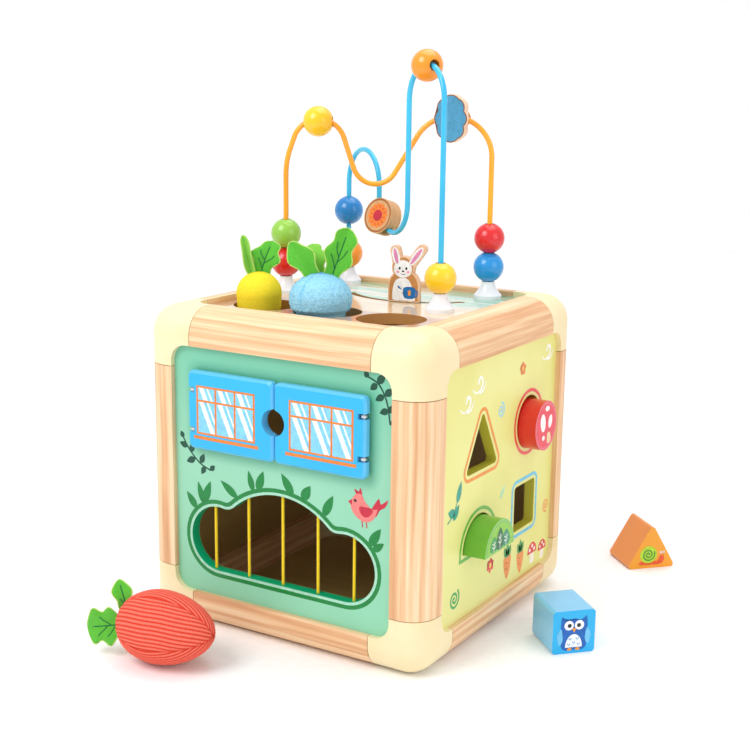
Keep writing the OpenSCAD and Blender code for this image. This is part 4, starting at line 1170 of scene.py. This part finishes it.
def standing_skin(node, gores, crease, loops, seed, seam_depth, drop):
    centre, rim = profile_of(node)
    wide, top, sill = max(r for r, _ in rim), rim[-1][1], top_high.z / MM
    waist = [(r, z) for r, z in rim if r > 5 and z < sill - 14]
    waist += [(waist[-1][0], sill - 1.0 - drop), (0.87 * wide, sill + 0.8 - drop),
              (0.96 * wide, sill + 3.5 - drop * 0.8)]
    crown_low = sill + 0.32 * (top - sill)
    waist += [(wide * math.cos(a), crown_low + (top - crown_low) * math.sin(a))
              for a in [math.radians(5.0 * k) for k in range(-2, 18)]]
    rim = [(0.0, waist[0][1])] + [p for p in waist if p[0] > 0.1] + [(0.0, top)]
    steps = [0.0]
    for (r0, z0), (r1, z1) in zip(rim, rim[1:]):
        steps.append(steps[-1] + math.hypot(r1 - r0, z1 - z0))

    def skin(t, turn):
        far = t * steps[-1]
        i = max(k for k in range(len(rim) - 1) if steps[k] <= far + 1e-9)
        s = (far - steps[i]) / max(steps[i + 1] - steps[i], 1e-9)
        r = rim[i][0] + (rim[i + 1][0] - rim[i][0]) * s
        z = rim[i][1] + (rim[i + 1][1] - rim[i][1]) * s
        round_x, round_y = math.cos(turn), math.sin(turn)
        gore = abs((turn * gores / (2 * math.pi) + 0.35) % 1.0 - 0.5) * 2
        seam = math.exp(-(((1 - gore) * math.pi * r / gores / 1.1) ** 2))
        fold = noise.noise(Vector((round_x * 1.9, round_y * 1.9, z * 0.010 + seed)))
        fold = max(0.0, 1 - abs(fold) * 7) ** 2 * min(1.0, r / 18)
        loop = noise.noise(Vector((round_x * r, round_y * r, z)) * 0.75)
        rough = noise.noise(Vector((round_x * r, round_y * r, z)) * 0.22)
        out = -0.6 - crease * (fold - 0.5 * rough) - seam_depth * seam + loops * loop
        grow = min(1.0, r / 6)
        # The second value marks creases, seams and loop hollows, for painted shade.
        return (Vector((centre.x + round_x * (r + out * grow),
                        centre.y + round_y * (r + out * grow),
                        z - 0.5 * (1 - min(1.0, r / 12)) * (1 if t > 0.5 else -1))),
                min(1.0, 0.4 * crease * fold + seam_depth * seam + max(0.0, -loop * loops)))
    return skin


sewn_skin("velour_yellow_root", 130, 250,
          standing_skin("plush_yellow", 4, 0.0, 0.14, 1.0, 0.14, 9.0), 9000, 0.55, 0.12,
          pile("short_velour_yellow", "#ffe83a", "#eccb10", 1300.0, 0.00015, 0.3),
          "plush_yellow", 4)
sewn_skin("terry_blue_root", 170, 330,
          standing_skin("plush_blue", 4, 1.2, 0.7, 7.0, 0.2, 0.0), 26000, 1.3, 0.2,
          pile("terry_towelling_blue", "#a4e0f8", "#6cbfe2", 850.0, 0.0003, 0.5),
          "plush_blue", 5)

# %% [markdown]
# The leaves are two layers of wool felt, stitched along a pale piping. A leaf is a
# sheet over a straight line from stalk to tip: its width swells into lobes, its two
# halves fold a little along the middle, and the whole sheet curls. Embroidered veins
# lie on it as thin dark threads.

# %% Felt leaves
def felt(name, main, deep):
    finish, tree, surface = start_finish(name, Roughness=0.95, Sheen_Weight=0.35)
    surface.inputs["Specular IOR Level"].default_value = 0.1
    wool = add_node(tree, "TexNoise", {"Vector": placed(tree), "Scale": 1100.0, "Detail": 4.0,
                                       "Distortion": 1.5}).outputs["Fac"]
    colour = ramp(tree, wool, (0.3, deep), (0.65, main))
    tint(tree, surface, colour)
    roughen(tree, surface, wool, 0.0003, 0.7)
    return finish


felt_front = felt("wool_felt_green", "#63c03c", "#4aa82e")
felt_light = felt("wool_felt_lime", "#86cc4a", "#70ba3c")
piping = felt("cotton_piping_lime", "#b4dc6c", "#9ccb55")
thread = felt("embroidery_thread_green", "#0b7a40", "#00602f")
VIEWED_FROM = Vector((0.52, -0.83, 0.2))


def tube_points(mesh, path, radius, index, sides=6):
    rings = []
    for i, here in enumerate(path):
        ahead = (path[min(i + 1, len(path) - 1)] - path[max(i - 1, 0)]).normalized()
        one = ahead.orthogonal().normalized()
        two = ahead.cross(one)
        rings.append([mesh.verts.new((here + (one * math.cos(a) + two * math.sin(a)) * radius)
                                     * MM)
                      for a in [2 * math.pi * k / sides for k in range(sides)]])
    for low, high in zip(rings, rings[1:]):
        for k in range(sides):
            mesh.faces.new((low[k], low[(k + 1) % sides], high[(k + 1) % sides], high[k])
                           ).material_index = index
    for ring in (rings[0], rings[-1]):
        mesh.faces.new(ring).material_index = index


def felt_leaf(mesh, root, ahead, long, wide, fold=0.3, curl=0.4, lobes=2.0, shift=0.0,
              sway=0.0, veins=(), light=False, face_way=VIEWED_FROM, base=0.35):
    """One leaf from root along ahead, its face towards face_way."""
    up = Vector(ahead).normalized()
    out = (face_way - up * face_way.dot(up)).normalized()
    side = up.cross(out)

    def spot(t, s, lift=0.0):
        swell = math.sin(math.pi * (0.06 + 0.84 * t)) ** 0.7
        w = wide / 2 * (base + (1 - base) * swell) * math.sqrt(max(1 - t ** 9, 0.0)) \
            * (1 + 0.19 * math.sin(lobes * 2 * math.pi * t + shift + (1.2 if s > 0 else 0)))
        bend = curl * t
        along_z = long * (math.sin(bend) / curl if curl else t)
        back_y = long * ((1 - math.cos(bend)) / curl if curl else 0)
        ripple = 0.9 * math.sin(t * 9 + shift) * abs(s) ** 2
        depth = back_y - abs(s) * w * math.sin(fold) + ripple
        return (Vector(root) + up * along_z
                + side * (s * w * math.cos(fold) + sway * t * t * long)
                - out * (depth - lift))

    steps_t, steps_s = 26, 12
    layers = []
    for lift, index in ((1.0, 1 if light else 0), (-1.0, 1)):
        grid = [[mesh.verts.new(spot(i / steps_t, -1 + 2 * j / steps_s,
                                     lift * (1 - abs(-1 + 2 * j / steps_s) ** 4 * 0.6)) * MM)
                 for j in range(steps_s + 1)] for i in range(steps_t + 1)]
        for i in range(steps_t):
            for j in range(steps_s):
                mesh.faces.new((grid[i][j], grid[i][j + 1], grid[i + 1][j + 1], grid[i + 1][j])
                               ).material_index = index
        layers.append(grid)
    for j in (0, steps_s):
        for i in range(steps_t):
            mesh.faces.new((layers[0][i][j], layers[0][i + 1][j], layers[1][i + 1][j],
                            layers[1][i][j])).material_index = 2
    for side_at in (-1, 1):
        tube_points(mesh, [spot(i / 30, side_at) for i in range(31)], 0.75, 2)
    if veins:
        tube_points(mesh, [spot(0.04 + 0.78 * i / 14, 0.0, 1.15) for i in range(15)], 0.6, 3)
    for start, far, to in veins:
        tube_points(mesh, [spot(start + (far - start) * i / 6, to * (i / 6) ** 0.9, 1.15)
                           for i in range(7)], 0.5, 3)


def finish_leaves(name, node, mesh):
    bmesh.ops.recalc_face_normals(mesh, faces=mesh.faces)
    shown = show(name, mesh, (felt_front, felt_light, piping, thread))
    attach(shown, vegetable_of(node))
    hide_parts(node)
    print(name, len(shown.data.vertices), "points")


ACROSS = Vector((math.cos(math.radians(31)), math.sin(math.radians(31)), 0))
DEEP = Vector((-ACROSS.y, ACROSS.x, 0))


def crown(node, rightwards, back=0.0, sink=1.5):
    """A spot on top of a standing root: so far to the viewer's right, so far back."""
    low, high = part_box(node)
    middle, top = (low + high) / 2 / MM, high.z / MM - sink
    spot = Vector((middle.x, middle.y, 0)) + ACROSS * rightwards + DEEP * back
    return Vector((spot.x, spot.y, top))


def leaning(rightwards, backwards=0.0):
    """An upward direction that leans to the viewer's right, in degrees."""
    return (Vector((0, 0, 1)) + ACROSS * math.tan(math.radians(rightwards))
            + DEEP * math.tan(math.radians(backwards)))


BOTH_SIDES = ((0.14, 0.42, -0.55), (0.40, 0.68, -0.6), (0.30, 0.58, 0.6))
leaves = bmesh.new()
felt_leaf(leaves, crown("plush_yellow", -8, 2, 4.0), leaning(-13), 44, 17, fold=0.9, curl=0.25,
          lobes=1.0, light=True, shift=0.6)
felt_leaf(leaves, crown("plush_yellow", 2, 3, 3.0), leaning(12), 39, 29, fold=0.25, curl=0.7,
          veins=BOTH_SIDES, shift=1.0, sway=0.12)
felt_leaf(leaves, crown("plush_yellow", 0, 9, 3.0), leaning(2, 14), 30, 20, fold=0.4,
          curl=0.5, light=True)
finish_leaves("felt_leaves_yellow", "leaves_yellow", leaves)
leaves = bmesh.new()
felt_leaf(leaves, crown("plush_blue", -7, 0, 3.5), leaning(-36), 45, 27, fold=0.5, curl=0.5,
          lobes=1.5, shift=2.0, veins=())
felt_leaf(leaves, crown("plush_blue", -4, 7, 3.5), leaning(-10, 10), 38, 26, fold=0.4,
          curl=0.8, light=True, shift=0.5)
felt_leaf(leaves, crown("plush_blue", 12, 0, 3.5), leaning(19), 54, 29, fold=0.3, curl=0.3,
          veins=BOTH_SIDES, shift=2.4)
finish_leaves("felt_leaves_blue", "leaves_blue", leaves)
leaves = bmesh.new()
coral_end = coral_mid + coral_turn @ Vector((-CORAL_LONG / 2 + 3, 0, 0))
felt_leaf(leaves, coral_end + Vector((2, -2, -4)), (-0.86, -0.42, -0.16), 41, 37, fold=0.2,
          curl=0.35, lobes=2.0, veins=BOTH_SIDES, shift=3.6)
felt_leaf(leaves, coral_end + Vector((6, 2, 12)), (-0.30, -0.12, 1.0), 32, 19, fold=0.35,
          curl=0.4, lobes=1.5, veins=BOTH_SIDES[:1], shift=1.2)
finish_leaves("felt_leaves_coral", "leaves_coral", leaves)

# %% [markdown]
# The strings of the cloud window are yellow braided elastic, 3.4 mm thick. Four
# strands wind round each other: each strand is a small tube on a helix.

# %% Braided elastic
braid = bmesh.new()
string_low, string_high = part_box("elastic_strings")
STRING_PITCH, BRAID_TURN = 44.0, 7.0
STRAND_R, STRAND_OFF = 0.82, 0.85
model_strings = frame["nodes"]["elastic_strings"]
spans = {}
for v in model_strings.data.vertices:
    spot = model_strings.matrix_world @ v.co / MM
    spans.setdefault(round(spot.x / STRING_PITCH) * STRING_PITCH, []).append(spot.z)
string_y = (string_low.y + string_high.y) / 2 / MM
for x, heights in spans.items():
    low, high = min(heights), max(heights)
    for strand in range(4):
        path = []
        for i in range(int((high - low) * 2) + 1):
            a = strand * math.pi / 2 + i * math.pi / BRAID_TURN
            path.append(Vector((x + STRAND_OFF * math.cos(a),
                                string_y + STRAND_OFF * math.sin(a),
                                low + (high - low) * i / int((high - low) * 2))))
        tube_points(braid, path, STRAND_R, 0)
strings = show("braided_elastic", braid, [felt("braided_elastic_yellow", "#ffe226", "#eec40c")])
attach(strings, "cube")
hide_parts("elastic_strings")
print(len(spans), "braids")

# %% [markdown]
# The floor is a pale sweep of studio paper that rises behind the cube, so no horizon
# shows. It is stage, not part of the toy.

# %% Floor
def studio_sweep():
    sweep = bmesh.new()
    profile = [(-2.6, 0.0), (1.6, 0.0)]
    profile += [(1.6 + 0.7 * math.sin(a), 0.7 - 0.7 * math.cos(a))
                for a in [i * math.pi / 24 for i in range(1, 13)]] + [(2.3, 3.4)]
    rows = [[sweep.verts.new(ACROSS * s + DEEP * d + Vector((0, 0, z))) for s in (-4.5, 4.5)]
            for d, z in profile]
    for low, high in zip(rows, rows[1:]):
        sweep.faces.new((low[0], low[1], high[1], high[0]))
    paper, tree, surface = start_finish("matt_studio_paper", Roughness=0.85)
    fibre = speckle(tree, 90.0)
    tone = ramp(tree, fibre, (0.3, "#fafafa"), (0.7, "#ffffff"))
    tint(tree, surface, tone)
    floor = show("studio_sweep", sweep, [paper])


studio_sweep()
print("the sweep is stage")

# %% [markdown]
# The light is a bright, even product set: a white surround, a large soft box high in
# front on the left as the main light, and two weaker ones to lift the shade side.

# %% Lights
def soft_box(name, place, aim, size, watts):
    lamp = bpy.data.lights.new(name, "AREA")
    lamp.shape, lamp.size, lamp.size_y, lamp.energy = "RECTANGLE", size[0], size[1], watts
    shown = bpy.data.objects.new(name, lamp)
    shown.location = place
    shown.rotation_euler = (Vector(aim) - Vector(place)).to_track_quat("-Z", "Y").to_euler()
    bpy.context.scene.collection.objects.link(shown)


world = bpy.data.worlds.new("white_surround")
world.use_nodes = True
world.node_tree.nodes["Background"].inputs["Color"].default_value = linear("#fcfcff")
world.node_tree.nodes["Background"].inputs["Strength"].default_value = 0.80
bpy.context.scene.world = world
soft_box("main_soft_box", (-0.55, -1.5, 1.75), (0.0, 0.0, 0.25), (1.1, 1.1), 21.0)
soft_box("side_soft_box", (1.75, -0.35, 0.9), (0.0, 0.0, 0.2), (1.0, 1.2), 5.0)
soft_box("top_soft_box", (0.1, 0.35, 1.9), (0.0, 0.0, 0.3), (1.3, 1.3), 11.0)
bpy.context.scene.view_settings.view_transform = "Standard"
print("three soft boxes")

# %% [markdown]
# The camera stands a little right of the front corner and looks slightly down, with
# a 63 mm lens on a 36 mm frame. Its axes come straight from the turn and tilt.

# %% Camera
camera = bpy.data.objects.new("product_camera", bpy.data.cameras.new("product_camera"))
camera.data.sensor_width = 36.0
camera.data.lens = 63.26
turn, tilt, roll = math.radians(31.25), math.radians(12.40), math.radians(0.71)
back = Vector((math.sin(turn) * math.cos(tilt), -math.cos(turn) * math.cos(tilt),
               math.sin(tilt)))
level = Vector((math.cos(turn), math.sin(turn), 0))
upright = level.cross(-back)
right = level * math.cos(roll) + upright * math.sin(roll)
up = upright * math.cos(roll) - level * math.sin(roll)
stand = Matrix((right, up, back)).transposed().to_4x4()
stand.translation = Vector((0.757, -1.230, 0.580))
camera.matrix_world = stand
bpy.context.scene.collection.objects.link(camera)
bpy.context.scene.camera = camera
print("camera at", [round(v, 3) for v in camera.matrix_world.translation])
